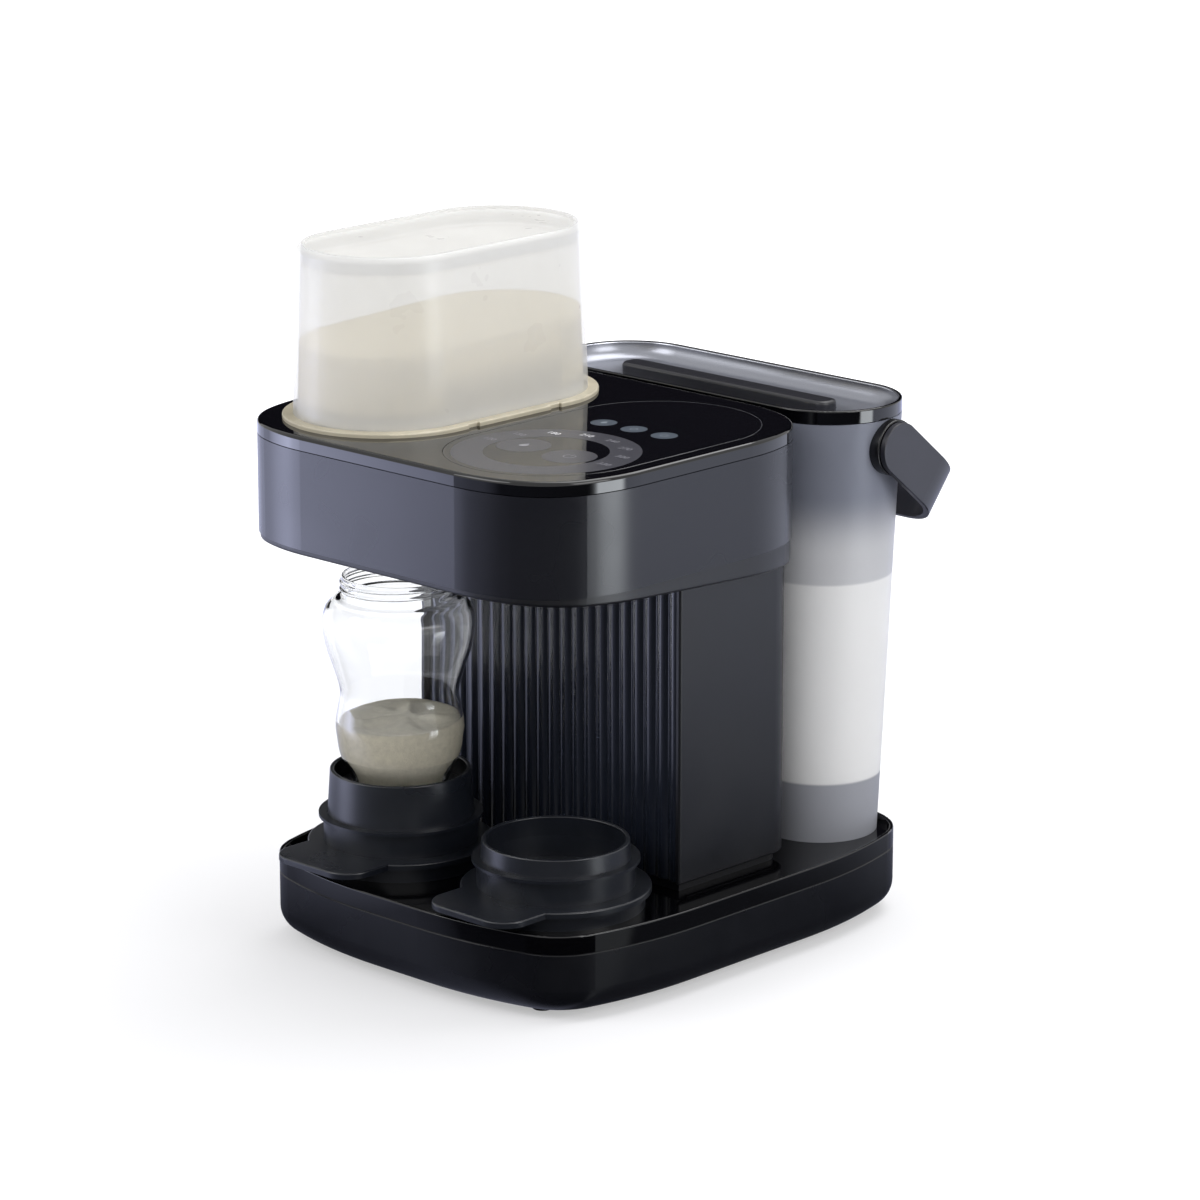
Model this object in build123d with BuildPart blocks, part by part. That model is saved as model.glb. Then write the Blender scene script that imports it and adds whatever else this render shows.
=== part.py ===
from build123d import *
import os
from math import atan2, cos, degrees, pi, radians, sin, sqrt

# Baby formula maker: a powder hopper and a water tank over two cup stations.
# Millimetres, +Z up, front towards -Y, the tank at the back. The origin is on
# the surface the machine stands on, under the middle of the whole object's box.

os.makedirs("parts", exist_ok=True)

# ---- fits -----------------------------------------------------------------
slide_gap = 0.3            # between pieces that lift out of one another
run_gap = 0.06             # radial, round a shaft that turns
seam = 0.4                 # chamfer that makes the joint line of two shells
butt_gap = 0.1             # between a hose's or seal's end and what it meets

# ---- base -----------------------------------------------------------------
foot_height = 3.0
foot_radius = 5.0
foot_spread = (71.0, 105.0)
base_side = 14.12          # from a stand's plate to the base's side
base_fore = 12.82          # and to its front
base_corner = (219.0, 32.6, 16.0)      # slack arc, tight arc, slack arc's degrees
pan_top = 32.3
pan_wall = 2.5
pan_round = 12.0
rim_top = 41.35
rim_wall = 2.0
deck_top = 38.0
deck_skin = 2.6
lip_depth = 4.0
lip_wall = 1.5
vent_length = 26.0
vent_width = 2.4
vent_pitch = 7.0
vent_count = 9
inlet_length = 12.0        # between the centres of its round ends
inlet_height = 11.0
inlet_rise = 17.0          # of its middle above the pan's underside
inlet_sink = 1.0
inlet_case = (34.0, 16.0, 16.0)
socket_length = 8.6
socket_height = 7.2
socket_depth = 13.0
pin_radius = 1.15
pin_length = 10.0
riser_hole = (110.0, 40.0)  # what rises from the base into the column

# ---- column ---------------------------------------------------------------
column_half = 84.0
column_gap = 3.43          # behind the stands' plates
column_deep = 79.7
column_tuck = 0.3          # the column's back stands in from the head's
column_wall = 2.5
column_foot = 42.4
column_rear_round = 14.0
column_front_round = 1.2
column_edge = 0.8
column_ledge = 4.0         # behind each side of the fluted panel
ledge_thick = 2.0
plinth_tongue = 3.0        # of the plinth inside the column
plinth_inset = 4.0
flute_count = 21
flute_pitch = 7.7
flute_rise = 1.3
flute_back = 2.6           # the fluted panel stands this far behind the side edges
flute_plate = 2.0
flute_valley = 0.3         # flat between two flutes
panel_gap = 0.15

# ---- head -----------------------------------------------------------------
head_side = 7.85           # from the hopper's flange to the head's side
head_fore = 9.4            # and to its front
head_corner = (85.5, 40.2, 20.0)
under_front = 196.4        # height of the underside at the front edge
under_slope = 0.052        # how fast it falls towards the back
band_bottom = 199.2
band_top = 245.5
head_top = 252.45
head_wall = 2.5
top_skin = 2.4
top_round = 1.8
pan_inset = 0.7
under_round = 1.4
duct_margin = 18.5         # round the opening between the column and the head

# ---- cup stations ---------------------------------------------------------
station_gap = 13.46        # between the two plates

stand_cup = 36.5
stand_ring = stand_cup + 4.5
stand_ring_wall = 2.0
stand_plate = stand_ring + 3.0
stand_plate_top = 48.0
stand_plate_thick = 3.0
stand_cup_top = 59.5
stand_cup_wall = 1.6
tab_reach = stand_plate + 17.0
tab_half = 27.0
tab_corner = 13.0
tab_blend = 12.0
stand_edge = 0.8
cup_edge = 0.5
land_height = 2.0
land_wall = 1.5

riser_collar = stand_cup + 2.25
riser_collar_thick = 1.5
riser_root = stand_cup - stand_cup_wall - slide_gap
riser_taper = 0.065        # loss of radius per millimetre away from it
riser_wall = 2.0
riser_tall = 22.0          # from the collar's middle plane
riser_short = 9.25
riser_floor = 12.25
riser_floor_thick = 2.2
riser_edge = 0.6

# ---- bottle ---------------------------------------------------------------
bottle_outline = (         # radius, height above the foot of the bottle
    (21.0, 0.6), (25.6, 10.5), (28.4, 17.5), (29.7, 25.5), (30.2, 31.5), (29.0, 39.5),
    (27.9, 46.0), (28.6, 51.5), (31.5, 61.0), (34.0, 68.5), (35.6, 76.5), (35.6, 83.5),
    (34.0, 88.6), (31.0, 91.6),
)
bottle_neck = 26.6
bottle_neck_base = 93.2
bottle_height = 103.5
bottle_wall = 1.5
bottle_floor = 2.2
bottle_bead = 1.3
bottle_bead_height = 97.6
bottle_fill = 34.0         # powder level above the foot, at the middle
bottle_fill_tilt = 3.0     # degrees, higher towards the back

# ---- powder hopper --------------------------------------------------------
hopper_length = 72.5       # between the centres of its round ends
hopper_fore = 5.37         # its front arc's centre stands this far before the left station
hopper_aside = 4.0         # from its flange to the middle of the head
tub_step = 1.0             # the tub's foot stands in this far from the neck's side
tub_draft = 2.8            # what its radius loses on the way up
tub_wall = 2.0
tub_top = 333.5
tub_round = 3.2
flange_over = 4.0          # beyond the neck
flange_top = 254.5
neck_wall = 2.0
wheel_room = 1.5           # round the dosing wheel, inside the neck
neck_bottom = 236.3
notch_width = 7.0
notch_depth = 1.6
notch_spread = 26.8
spigot_height = 4.5
spigot_wall = 1.5
well_wall = 2.0
well_floor = 2.5
powder_level = 290.0
powder_tilt = 2.2          # degrees, higher towards the back
feed_plate_top = 250.0
feed_plate_thick = 2.0
hopper_lid_dish = 1.6
hopper_lid_wall = 1.6
ledge_drop = 8.0
ledge_width = 2.0
ledge_tall = 1.5
flange_edge = 0.8

# ---- dosing wheel and its drive -------------------------------------------
gear_module = 1.5
wheel_teeth = 52
pinion_teeth = 12
pressure_angle = 20.0
backlash = 0.25
wheel_bottom = 238.6
wheel_thick = 8.0
tooth_face = 6.0
dose_radius = 4.8
dose_count = 6
outlet_radius = 8.0
axle_radius = 4.0
motor_radius = 12.0
motor_height = 24.0
motor_shaft = 1.5
motor_edge = 1.5
motor_bore = 6.0

# ---- tank -----------------------------------------------------------------
tank_fore = 9.7             # from the column's back to the tank's head
tank_behind = 7.45         # from the tank's foot to the back of the base
tank_bottom_half = 88.85
tank_bottom_radius = 28.0
tank_top_half = 98.58
tank_top_radius = 34.8
tank_top = 244.0
tank_wall = 2.4
tank_floor = 67.0
tank_floor_thick = 2.5
water_level = 166.0
lid_top = 250.7
lid_rim = 1.4              # what shows of the lid's band round its dished plate
lid_floor = 242.4
lid_skin = 0.8
lid_cove = 8.0
lid_sink = 0.3             # of the plate's edge below the band's
lid_skirt = 5.0
lid_skirt_wall = 1.6
grip_half = 66.0
grip_width = 12.6
grip_top = 248.2
grip_corner = 5.0
grip_round = 1.8
valve_radius = 9.0
valve_travel = 3.0
dock_depth = 6.0

# ---- handle ---------------------------------------------------------------
pivot_height = 230.6
pivot_back = 4.6           # the pivots stand this far behind the tank's middle
pivot_boss = 13.3
pivot_pin = 4.0
pin_cover = 1.0            # what the strap leaves over the end of each pin
handle_rest = 39.3         # degrees below level, towards the back
handle_half = 105.6
handle_reach = 53.5
handle_thick = 3.0
handle_wide = 24.8
handle_corner = 24.0
handle_edge = 0.5

# ---- what follows from these sizes, from the middle of the base --------------
base_width = 2 * (station_gap / 2 + 2 * stand_plate + base_side)
stands_deep = base_fore + 2 * stand_plate + column_gap
tank_deep = tank_fore + tank_top_radius + tank_bottom_radius + tank_behind
base_depth = stands_deep + column_deep + tank_deep
station_x = station_gap / 2 + stand_plate
station_y = base_fore + stand_plate - base_depth / 2
hopper_front = station_y - hopper_fore
hopper_back = hopper_front + hopper_length
neck_radius = gear_module * (wheel_teeth / 2 + 1) + wheel_room + neck_wall
flange_radius = neck_radius + flange_over
tub_foot_radius = neck_radius - tub_step
tub_top_radius = tub_foot_radius - tub_draft
hopper_x = -flange_radius - hopper_aside
head_width = 2 * (flange_radius + head_side - hopper_x)
head_front = hopper_front - flange_radius - head_fore
column_front = station_y + stand_plate + column_gap
column_back = column_front + column_deep
head_depth = column_back + column_tuck - head_front
tank_mid = base_depth / 2 - tank_bottom_radius - tank_behind

# ---- the object's box is centred on the origin ------------------------------
handle_end = (tank_mid + pivot_back + handle_reach * cos(radians(handle_rest))
              + handle_wide / 2 * sin(radians(handle_rest)))
base_y = -(head_front + handle_end) / 2
head_y = base_y + head_front + head_depth / 2
column_y = base_y + (column_front + column_back) / 2
left_station = (-station_x, base_y + station_y)
right_station = (station_x, base_y + station_y)
hopper_y = base_y + (hopper_front + hopper_back) / 2
tank_y = base_y + tank_mid
pivot_y = tank_y + pivot_back
collar_mid = stand_cup_top + riser_collar_thick / 2


# ---- outlines and helpers ---------------------------------------------------
def eased_rectangle(width, depth, corner):
    """A rectangle whose corners ease in: slack arc, tight arc, slack arc."""
    slack, tight, turn = corner
    reach = (slack * (1 + sin(radians(turn)) - cos(radians(turn)))
             + tight * (cos(radians(turn)) - sin(radians(turn))))
    with BuildSketch() as outline:
        with BuildLine():
            side = Line((width / 2, 0), (width / 2, depth / 2 - reach))
            ease_in = JernArc(side @ 1, (0, 1), slack, turn)
            bend = JernArc(ease_in @ 1, ease_in % 1, tight, 90 - 2 * turn)
            ease_out = JernArc(bend @ 1, bend % 1, slack, turn)
            Line(ease_out @ 1, (0, depth / 2))
            Line((0, depth / 2), (0, 0))
            Line((0, 0), (width / 2, 0))
        make_face()
        mirror(about=Plane.YZ)
        mirror(about=Plane.XZ)
    return outline.sketch


def inset(outline, amount):
    """The same outline, drawn smaller by amount all round."""
    with BuildSketch() as smaller:
        add(outline)
        offset(amount=-amount)
    return smaller.sketch


def hopper_slot(radius):
    """The hopper's long round-ended outline, along Y."""
    with BuildSketch() as slot:
        SlotCenterToCenter(hopper_length, 2 * radius, rotation=90)
    return slot.sketch


def tank_slot(height, smaller=0.0):
    """The tank's outline at a height, along X, drawn smaller by a wall."""
    share = (height - deck_top) / (tank_top - deck_top)
    half = tank_bottom_half + (tank_top_half - tank_bottom_half) * share
    radius = tank_bottom_radius + (tank_top_radius - tank_bottom_radius) * share
    with BuildSketch() as slot:
        SlotCenterToCenter(2 * (half - radius), 2 * (radius - smaller))
    return slot.sketch


def under_height(y):
    """Height of the head's sloping underside, y from the middle of the base."""
    return under_front - under_slope * (y - head_front)


def gear_outline(teeth, phase):
    """Spur gear with involute flanks, one tooth centred at the phase angle."""
    pitch = gear_module * teeth / 2
    base = pitch * cos(radians(pressure_angle))
    tip = pitch + gear_module
    root = pitch - 1.25 * gear_module
    start = max(base, root)

    def spread(radius):
        """Angle by which the involute has turned at a radius."""
        roll = sqrt(max((radius / base) ** 2 - 1, 0))
        return roll - atan2(roll, 1)

    half_tooth = pi / (2 * teeth) - backlash / (4 * pitch) + spread(pitch)
    flank = []
    for radius in (start, (start + tip) / 2, tip):
        angle = half_tooth - spread(radius)
        flank.append((radius * cos(angle), radius * sin(angle)))
    foot = (root * 0.97, flank[0][1])
    with BuildSketch() as tooth:
        with BuildLine():
            ThreePointArc(*flank)
            Line(flank[2], (flank[2][0], -flank[2][1]))
            ThreePointArc(*[(x, -y) for x, y in flank])
            Polyline(flank[0], foot, (foot[0], -foot[1]), (flank[0][0], -flank[0][1]))
        make_face()
    with BuildSketch() as outline:
        Circle(root)
        with PolarLocations(0, teeth, start_angle=phase):
            add(tooth.sketch)
    return outline.sketch


base_outline = eased_rectangle(base_width, base_depth, base_corner)
head_outline = eased_rectangle(head_width, head_depth, head_corner)
under_plane = Plane(
    origin=(0, base_y, under_height(0)),
    x_dir=(1, 0, 0),
    z_dir=(0, under_slope, 1),
)


# ---- base -------------------------------------------------------------------
screw_places = [(x, y) for x in (-88, 88) for y in (-62, 62)]
screw_seat = 7.0
screw_split = 18.0
screw_head = 3.0
screw_head_tall = 2.0
screw_shank = 1.5
screw_bite = 9.0
screw_boss = screw_head + 2.0
dock_wall = 2.0
dock_radius = valve_radius + slide_gap + dock_wall

with BuildPart() as pan_hollow:
    with BuildSketch(Plane((0, base_y, foot_height + pan_wall))):
        add(inset(base_outline, pan_wall))
    extrude(amount=pan_top)
    fillet(pan_hollow.faces().sort_by(Axis.Z)[0].edges(), pan_round - pan_wall)

with BuildPart() as base_pan:
    with BuildSketch(Plane((0, base_y, foot_height))):
        add(base_outline)
    extrude(amount=pan_top - foot_height)
    fillet(base_pan.faces().sort_by(Axis.Z)[0].edges(), pan_round)
    chamfer(base_pan.faces().sort_by(Axis.Z)[-1].edges(), seam)
    add(pan_hollow.part, mode=Mode.SUBTRACT)
    with BuildSketch(Plane((0, base_y, foot_height + pan_wall / 2))):
        with Locations(*screw_places):
            Circle(screw_boss)
    extrude(amount=screw_split - foot_height - pan_wall / 2)
    with BuildSketch(Plane((0, base_y, foot_height))):
        with Locations(*screw_places):
            Circle(screw_head + slide_gap)
    extrude(amount=screw_seat - foot_height, mode=Mode.SUBTRACT)
    with BuildSketch(Plane((0, base_y, foot_height))):
        with Locations(*screw_places):
            Circle(screw_shank + slide_gap)
        with GridLocations(vent_pitch, 0, vent_count, 1):
            SlotCenterToCenter(vent_length, vent_width, rotation=90)
        for side_x in (-foot_spread[0], foot_spread[0]):
            with Locations((side_x, -foot_spread[1]), (side_x, foot_spread[1])):
                Circle(foot_radius / 2)
    extrude(amount=screw_split, mode=Mode.SUBTRACT)
    inlet_back = Plane(
        origin=(0, base_y + base_depth / 2, foot_height + inlet_rise),
        x_dir=(-1, 0, 0),
        z_dir=(0, 1, 0),
    )
    with BuildSketch(inlet_back):
        SlotCenterToCenter(inlet_length, inlet_height)
    extrude(amount=-2 * pan_wall, mode=Mode.SUBTRACT)
base_pan.part.label = "base_pan"
export_step(base_pan.part, "parts/base_pan.step")

with BuildPart() as feet:
    with BuildSketch(Plane((0, base_y, 0))):
        with GridLocations(2 * foot_spread[0], 2 * foot_spread[1], 2, 2):
            Circle(foot_radius)
    extrude(amount=foot_height)
    chamfer(feet.faces().group_by(Axis.Z)[0].edges(), seam)
    with BuildSketch(Plane((0, base_y, foot_height))):
        with GridLocations(2 * foot_spread[0], 2 * foot_spread[1], 2, 2):
            Circle(foot_radius / 2)
    extrude(amount=pan_wall)
feet.part.label = "feet"
export_step(feet.part, "parts/feet.step")

with BuildPart() as base_deck:
    with BuildSketch(Plane((0, base_y, pan_top))):
        add(base_outline)
    extrude(amount=rim_top - pan_top)
    chamfer(base_deck.faces().sort_by(Axis.Z)[0].edges(), seam)
    with BuildSketch(Plane((0, base_y, deck_top))):
        add(inset(base_outline, rim_wall))
    extrude(amount=rim_top, mode=Mode.SUBTRACT)
    fillet(base_deck.faces().sort_by(Axis.Z)[-1].edges(), rim_wall / 3)
    with BuildSketch(Plane((0, base_y, pan_top))):
        add(inset(base_outline, pan_wall + slide_gap))
    extrude(amount=deck_top - deck_skin - pan_top, mode=Mode.SUBTRACT)
    with BuildSketch(Plane((0, base_y, pan_top - lip_depth))):
        add(inset(base_outline, pan_wall + slide_gap))
        add(inset(base_outline, pan_wall + slide_gap + lip_wall), mode=Mode.SUBTRACT)
    extrude(amount=lip_depth + deck_top - deck_skin - pan_top)
    # bosses the screws bite into
    with BuildSketch(Plane((0, base_y, screw_split))):
        with Locations(*screw_places):
            Circle(screw_boss)
            Circle(screw_shank, mode=Mode.SUBTRACT)
    extrude(amount=deck_top - deck_skin - screw_split)
    # low rings that keep the stands and the tank in place
    with BuildSketch(Plane((0, base_y, deck_top))):
        with Locations((-station_x, station_y), (station_x, station_y)):
            Circle(stand_ring - stand_ring_wall - slide_gap)
            Circle(stand_ring - stand_ring_wall - slide_gap - land_wall, mode=Mode.SUBTRACT)
        with Locations((0, tank_mid)):
            add(tank_slot(deck_top, tank_wall + slide_gap))
            add(tank_slot(deck_top, tank_wall + slide_gap + land_wall), mode=Mode.SUBTRACT)
    extrude(amount=land_height)
    # openings for the dock and for what rises into the column
    with BuildSketch(Plane((0, base_y, pan_top))):
        with Locations((0, tank_mid)):
            Circle(dock_radius)
        with Locations((0, column_y - base_y)):
            Rectangle(*riser_hole)
    extrude(amount=rim_top - pan_top, mode=Mode.SUBTRACT)
base_deck.part.label = "base_deck"
export_step(base_deck.part, "parts/base_deck.step")

with BuildPart() as base_screws:
    with BuildSketch(Plane((0, base_y, screw_seat - screw_head_tall))):
        with Locations(*screw_places):
            Circle(screw_head)
    extrude(amount=screw_head_tall)
    with BuildSketch(Plane((0, base_y, screw_seat))):
        with Locations(*screw_places):
            Circle(screw_shank)
    extrude(amount=screw_split + screw_bite - screw_seat)
base_screws.part.label = "base_screws"
export_step(base_screws.part, "parts/base_screws.step")

with BuildPart() as power_inlet:
    with BuildSketch(inlet_back.offset(-2 * pan_wall)):
        SlotCenterToCenter(inlet_length, inlet_height - 2 * slide_gap)
    extrude(amount=2 * pan_wall - inlet_sink)
    with BuildSketch(inlet_back.offset(-2 * pan_wall)):
        Rectangle(inlet_case[0], inlet_case[1])
    extrude(amount=-inlet_case[2])
    with BuildSketch(inlet_back.offset(-inlet_sink)):
        SlotCenterToCenter(socket_length, socket_height)
    extrude(amount=-socket_depth, mode=Mode.SUBTRACT)
power_inlet.part.label = "power_inlet"
export_step(power_inlet.part, "parts/power_inlet.step")

with BuildPart() as inlet_pins:
    with BuildSketch(inlet_back.offset(-inlet_sink - socket_depth)):
        with GridLocations(socket_length, 0, 2, 1):
            Circle(pin_radius)
    extrude(amount=pin_length)
inlet_pins.part.label = "inlet_pins"
export_step(inlet_pins.part, "parts/inlet_pins.step")


# ---- tank dock, under the tank ------------------------------------------------
dock_floor = deck_top + 2.0
dock_rim = dock_floor + dock_depth + 3.0
dock_brim = 3.0
dock_brim_thick = 1.5
spout_radius = 5.0
spout_bore = 3.0
spout_foot = pan_top - 4.0
valve_foot = dock_floor + 2.0
push_pin = 1.4
pin_bridge = 1.6
stem_gap = 0.05
stem_rest = dock_rim
seal_width = 2.5

with BuildPart() as tank_dock:
    with BuildSketch(Plane.XZ):
        with BuildLine():
            Polyline(
                (spout_bore, spout_foot),
                (spout_radius, spout_foot),
                (spout_radius, pan_top),
                (dock_radius, pan_top + dock_wall),
                (dock_radius, deck_top),
                (dock_radius + dock_brim, deck_top),
                (dock_radius + dock_brim, deck_top + dock_brim_thick),
                (dock_radius, deck_top + dock_brim_thick),
                (dock_radius, dock_rim),
                (valve_radius + slide_gap, dock_rim),
                (valve_radius + slide_gap, dock_floor),
                (spout_bore, dock_floor),
                close=True,
            )
        make_face()
    revolve(axis=Axis.Z)
    with BuildSketch(Plane.XY.offset(dock_floor - pin_bridge)):
        Rectangle(2 * spout_radius, pin_bridge)
        Circle(push_pin)
    extrude(amount=pin_bridge)
    with BuildSketch(Plane.XY.offset(dock_floor)):
        Circle(push_pin)
    extrude(amount=stem_rest - dock_floor)
tank_dock.part.position = (0, tank_y, 0)
tank_dock.part.label = "tank_dock"
export_step(tank_dock.part, "parts/tank_dock.step")

with BuildPart() as dock_seal:
    with BuildSketch(Plane((0, tank_y, dock_floor))):
        Circle(valve_radius)
        Circle(valve_radius - seal_width, mode=Mode.SUBTRACT)
    extrude(amount=valve_foot - dock_floor - butt_gap)
dock_seal.part.label = "dock_seal"
export_step(dock_seal.part, "parts/dock_seal.step")


# ---- column -------------------------------------------------------------------
with BuildSketch() as column_plan:
    Rectangle(2 * column_half, column_deep)
    fillet(column_plan.vertices().group_by(Axis.Y)[-1], column_rear_round)
    fillet(column_plan.vertices().group_by(Axis.Y)[0], column_front_round)

panel_half = column_half - column_wall
panel_depth = flute_back + flute_rise + flute_plate
panel_plane_y = base_y + column_front + flute_back + flute_rise

with BuildPart() as column_shell:
    with BuildSketch(Plane((0, column_y, column_foot))):
        add(column_plan.sketch)
    extrude(amount=under_front - column_foot)
    chamfer(column_shell.faces().sort_by(Axis.Z)[0].edges(), column_edge)
    with BuildSketch(Plane((0, column_y, column_foot))):
        add(inset(column_plan.sketch, column_wall))
    extrude(amount=under_front, mode=Mode.SUBTRACT)
    with BuildSketch(Plane((0, base_y + column_front, column_foot))):
        Rectangle(2 * panel_half, 2 * panel_depth)
    extrude(amount=under_front, mode=Mode.SUBTRACT)
    # ledges behind the fluted panel
    with BuildSketch(Plane((0, panel_plane_y + flute_plate + ledge_thick / 2, column_foot))):
        with GridLocations(2 * panel_half - column_ledge, 0, 2, 1):
            Rectangle(column_ledge, ledge_thick)
    extrude(amount=under_front - column_foot)
    split(bisect_by=under_plane, keep=Keep.BOTTOM)
column_shell.part.label = "column_shell"
export_step(column_shell.part, "parts/column_shell.step")

flute_half = (flute_pitch - flute_valley) / 2

with BuildSketch() as flute:
    with BuildLine():
        crest = ThreePointArc((-flute_half, 0), (0, -flute_rise), (flute_half, 0))
        Polyline(
            crest @ 1,
            (flute_half, flute_plate / 2),
            (-flute_half, flute_plate / 2),
            crest @ 0,
        )
    make_face()

with BuildPart() as fluted_panel:
    with BuildSketch(Plane((0, panel_plane_y, column_foot))):
        with Locations((0, flute_plate / 2)):
            Rectangle(2 * (panel_half - panel_gap), flute_plate)
        with GridLocations(flute_pitch, 0, flute_count, 1):
            add(flute.sketch)
    extrude(amount=under_front - column_foot)
    split(bisect_by=under_plane, keep=Keep.BOTTOM)
fluted_panel.part.label = "fluted_panel"
export_step(fluted_panel.part, "parts/fluted_panel.step")

with BuildPart() as column_plinth:
    with BuildSketch(Plane((0, column_y, deck_top))):
        add(inset(column_plan.sketch, plinth_inset))
        add(inset(column_plan.sketch, plinth_inset + column_wall), mode=Mode.SUBTRACT)
    extrude(amount=column_foot - deck_top)
    with BuildSketch(Plane((0, column_y, column_foot - 1.0))):
        add(inset(column_plan.sketch, column_wall + slide_gap))
        add(inset(column_plan.sketch, plinth_inset + column_wall), mode=Mode.SUBTRACT)
        with Locations((0, -column_deep / 2)):
            Rectangle(
                2 * column_half,
                2 * (panel_depth + ledge_thick + slide_gap),
                mode=Mode.SUBTRACT,
            )
    extrude(amount=plinth_tongue + 1.0)
    with BuildSketch(Plane((0, column_y, column_foot - 1.0))):
        add(column_plan.sketch)
        add(inset(column_plan.sketch, column_wall + slide_gap), mode=Mode.SUBTRACT)
    extrude(amount=-1.0, mode=Mode.SUBTRACT)
column_plinth.part.label = "column_plinth"
export_step(column_plinth.part, "parts/column_plinth.step")


# ---- what the column holds ------------------------------------------------------
frame_y = column_y + 21.0
works_y = column_y - 3.0
pump_x = -42.0
heater_x = 38.0
pump_radius = 16.0
pump_bottom = 66.0
pump_top = 112.0
heater_radius = 21.0
heater_bottom = 70.0
heater_top = 152.0
hose_radius = 3.6
hose_bore = 2.2
barb_length = 8.0
barb_fit = 0.05            # radial, hose over barb
nozzle_top = 209.0
nozzle_tip = 187.0
nozzle_radius = 7.0
nozzle_brim = 10.0
nozzle_bore = 1.2
nozzle_lip = 4.0
chute_tip = 191.5
chute_radius = 10.0
chute_wall = 2.0
chute_brim = outlet_radius + 5.0
frame_size = 130.0
frame_thick = 3.0
clamp_wall = 2.5
clamp_tall = 10.0
board_thick = 1.6
board_post = 4.0
main_board_size = (110.0, 90.0)

with BuildPart() as service_frame:
    with BuildSketch(Plane((0, frame_y, deck_top))):
        Rectangle(frame_size, frame_thick)
    extrude(amount=frame_size)
    with BuildSketch(Plane((0, frame_y, deck_top))):
        Rectangle(frame_size, 3 * frame_thick)
    extrude(amount=frame_thick)
    with BuildSketch(Plane((0, works_y, heater_bottom + 30.0))):
        with Locations((heater_x, 0)):
            Circle(heater_radius + clamp_wall)
        with Locations((heater_x, heater_radius)):
            Rectangle(20, 8)
        with Locations((heater_x, 0)):
            Circle(heater_radius, mode=Mode.SUBTRACT)
    extrude(amount=clamp_tall)
    with BuildSketch(Plane((0, works_y, pump_bottom + 18.0))):
        with Locations((pump_x, 0)):
            Circle(pump_radius + clamp_wall)
        with Locations((pump_x, pump_radius + 3)):
            Rectangle(16, 12)
        with Locations((pump_x, 0)):
            Circle(pump_radius, mode=Mode.SUBTRACT)
    extrude(amount=clamp_tall)
service_frame.part.label = "service_frame"
export_step(service_frame.part, "parts/service_frame.step")


def pot(radius, bottom, top, dome):
    """Turned body with a hose barb at each end, round the Z axis."""
    with BuildPart() as body:
        with BuildSketch(Plane.XZ):
            with BuildLine():
                Polyline(
                    (0, bottom - barb_length),
                    (hose_bore, bottom - barb_length),
                    (hose_bore, bottom),
                    (radius - dome, bottom),
                    (radius, bottom + dome),
                    (radius, top - dome),
                    (radius - dome, top),
                    (hose_bore, top),
                    (hose_bore, top + barb_length),
                    (0, top + barb_length),
                    close=True,
                )
            make_face()
        revolve(axis=Axis.Z)
    return body


pump = pot(pump_radius, pump_bottom, pump_top, 2.0)
pump.part.position = (pump_x, works_y, 0)
pump.part.label = "pump"
export_step(pump.part, "parts/pump.step")

heater = pot(heater_radius, heater_bottom, heater_top, 5.0)
heater.part.position = (heater_x, works_y, 0)
heater.part.label = "heater"
export_step(heater.part, "parts/heater.step")


def hose(points, radii):
    """Hose of one bore along straight runs joined by tangent arcs."""
    with BuildPart() as tube:
        with BuildLine() as path:
            FilletPolyline(*points, radius=radii)
        with BuildSketch(Plane(origin=path.line @ 0, z_dir=path.line % 0)):
            Circle(hose_radius)
            Circle(hose_bore + barb_fit, mode=Mode.SUBTRACT)
        sweep()
    return tube


hose_low = foot_height + pan_wall + 10.0
inlet_hose = hose(
    [
        (0, tank_y, spout_foot),
        (0, tank_y, hose_low),
        (pump_x, works_y, hose_low),
        (pump_x, works_y, pump_bottom - butt_gap),
    ],
    9.0,
)
inlet_hose.part.label = "inlet_hose"
export_step(inlet_hose.part, "parts/inlet_hose.step")

link_top = pump_top + 26.0
link_low = heater_bottom - 18.0
link_x = (pump_x + pump_radius + heater_x - heater_radius) / 2
link_hose = hose(
    [
        (pump_x, works_y, pump_top + butt_gap),
        (pump_x, works_y, link_top),
        (link_x, works_y, link_top),
        (link_x, works_y, link_low),
        (heater_x, works_y, link_low),
        (heater_x, works_y, heater_bottom - butt_gap),
    ],
    8.0,
)
link_hose.part.label = "link_hose"
export_step(link_hose.part, "parts/link_hose.step")

hot_top = nozzle_top + 20.0
hot_hose = hose(
    [
        (heater_x, works_y, heater_top + butt_gap),
        (heater_x, works_y, hot_top),
        (station_x, right_station[1], hot_top),
        (station_x, right_station[1], nozzle_top + butt_gap),
    ],
    14.0,
)
hot_hose.part.label = "hot_hose"
export_step(hot_hose.part, "parts/hot_hose.step")

board_face = frame_y + frame_thick / 2 + board_post
board_foot = deck_top + 14.0

with BuildPart() as main_board:
    with BuildSketch(Plane((0, board_face + board_thick / 2, board_foot))):
        Rectangle(main_board_size[0], board_thick)
    extrude(amount=main_board_size[1])
    for post_z in (board_foot + 6.0, board_foot + main_board_size[1] - 12.0):
        with BuildSketch(Plane((0, board_face - board_post / 2, post_z))):
            with GridLocations(main_board_size[0] - 14.0, 0, 2, 1):
                Rectangle(5.0, board_post)
        extrude(amount=5.0)
    with BuildSketch(Plane((0, board_face + board_thick + 3.0, board_foot + 20.0))):
        with GridLocations(30.0, 0, 3, 1):
            Rectangle(16.0, 6.0)
    extrude(amount=22.0)
main_board.part.label = "main_board"
export_step(main_board.part, "parts/main_board.step")


# ---- head -----------------------------------------------------------------------
pan_depth = band_bottom - under_height(head_front + head_depth)

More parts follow.
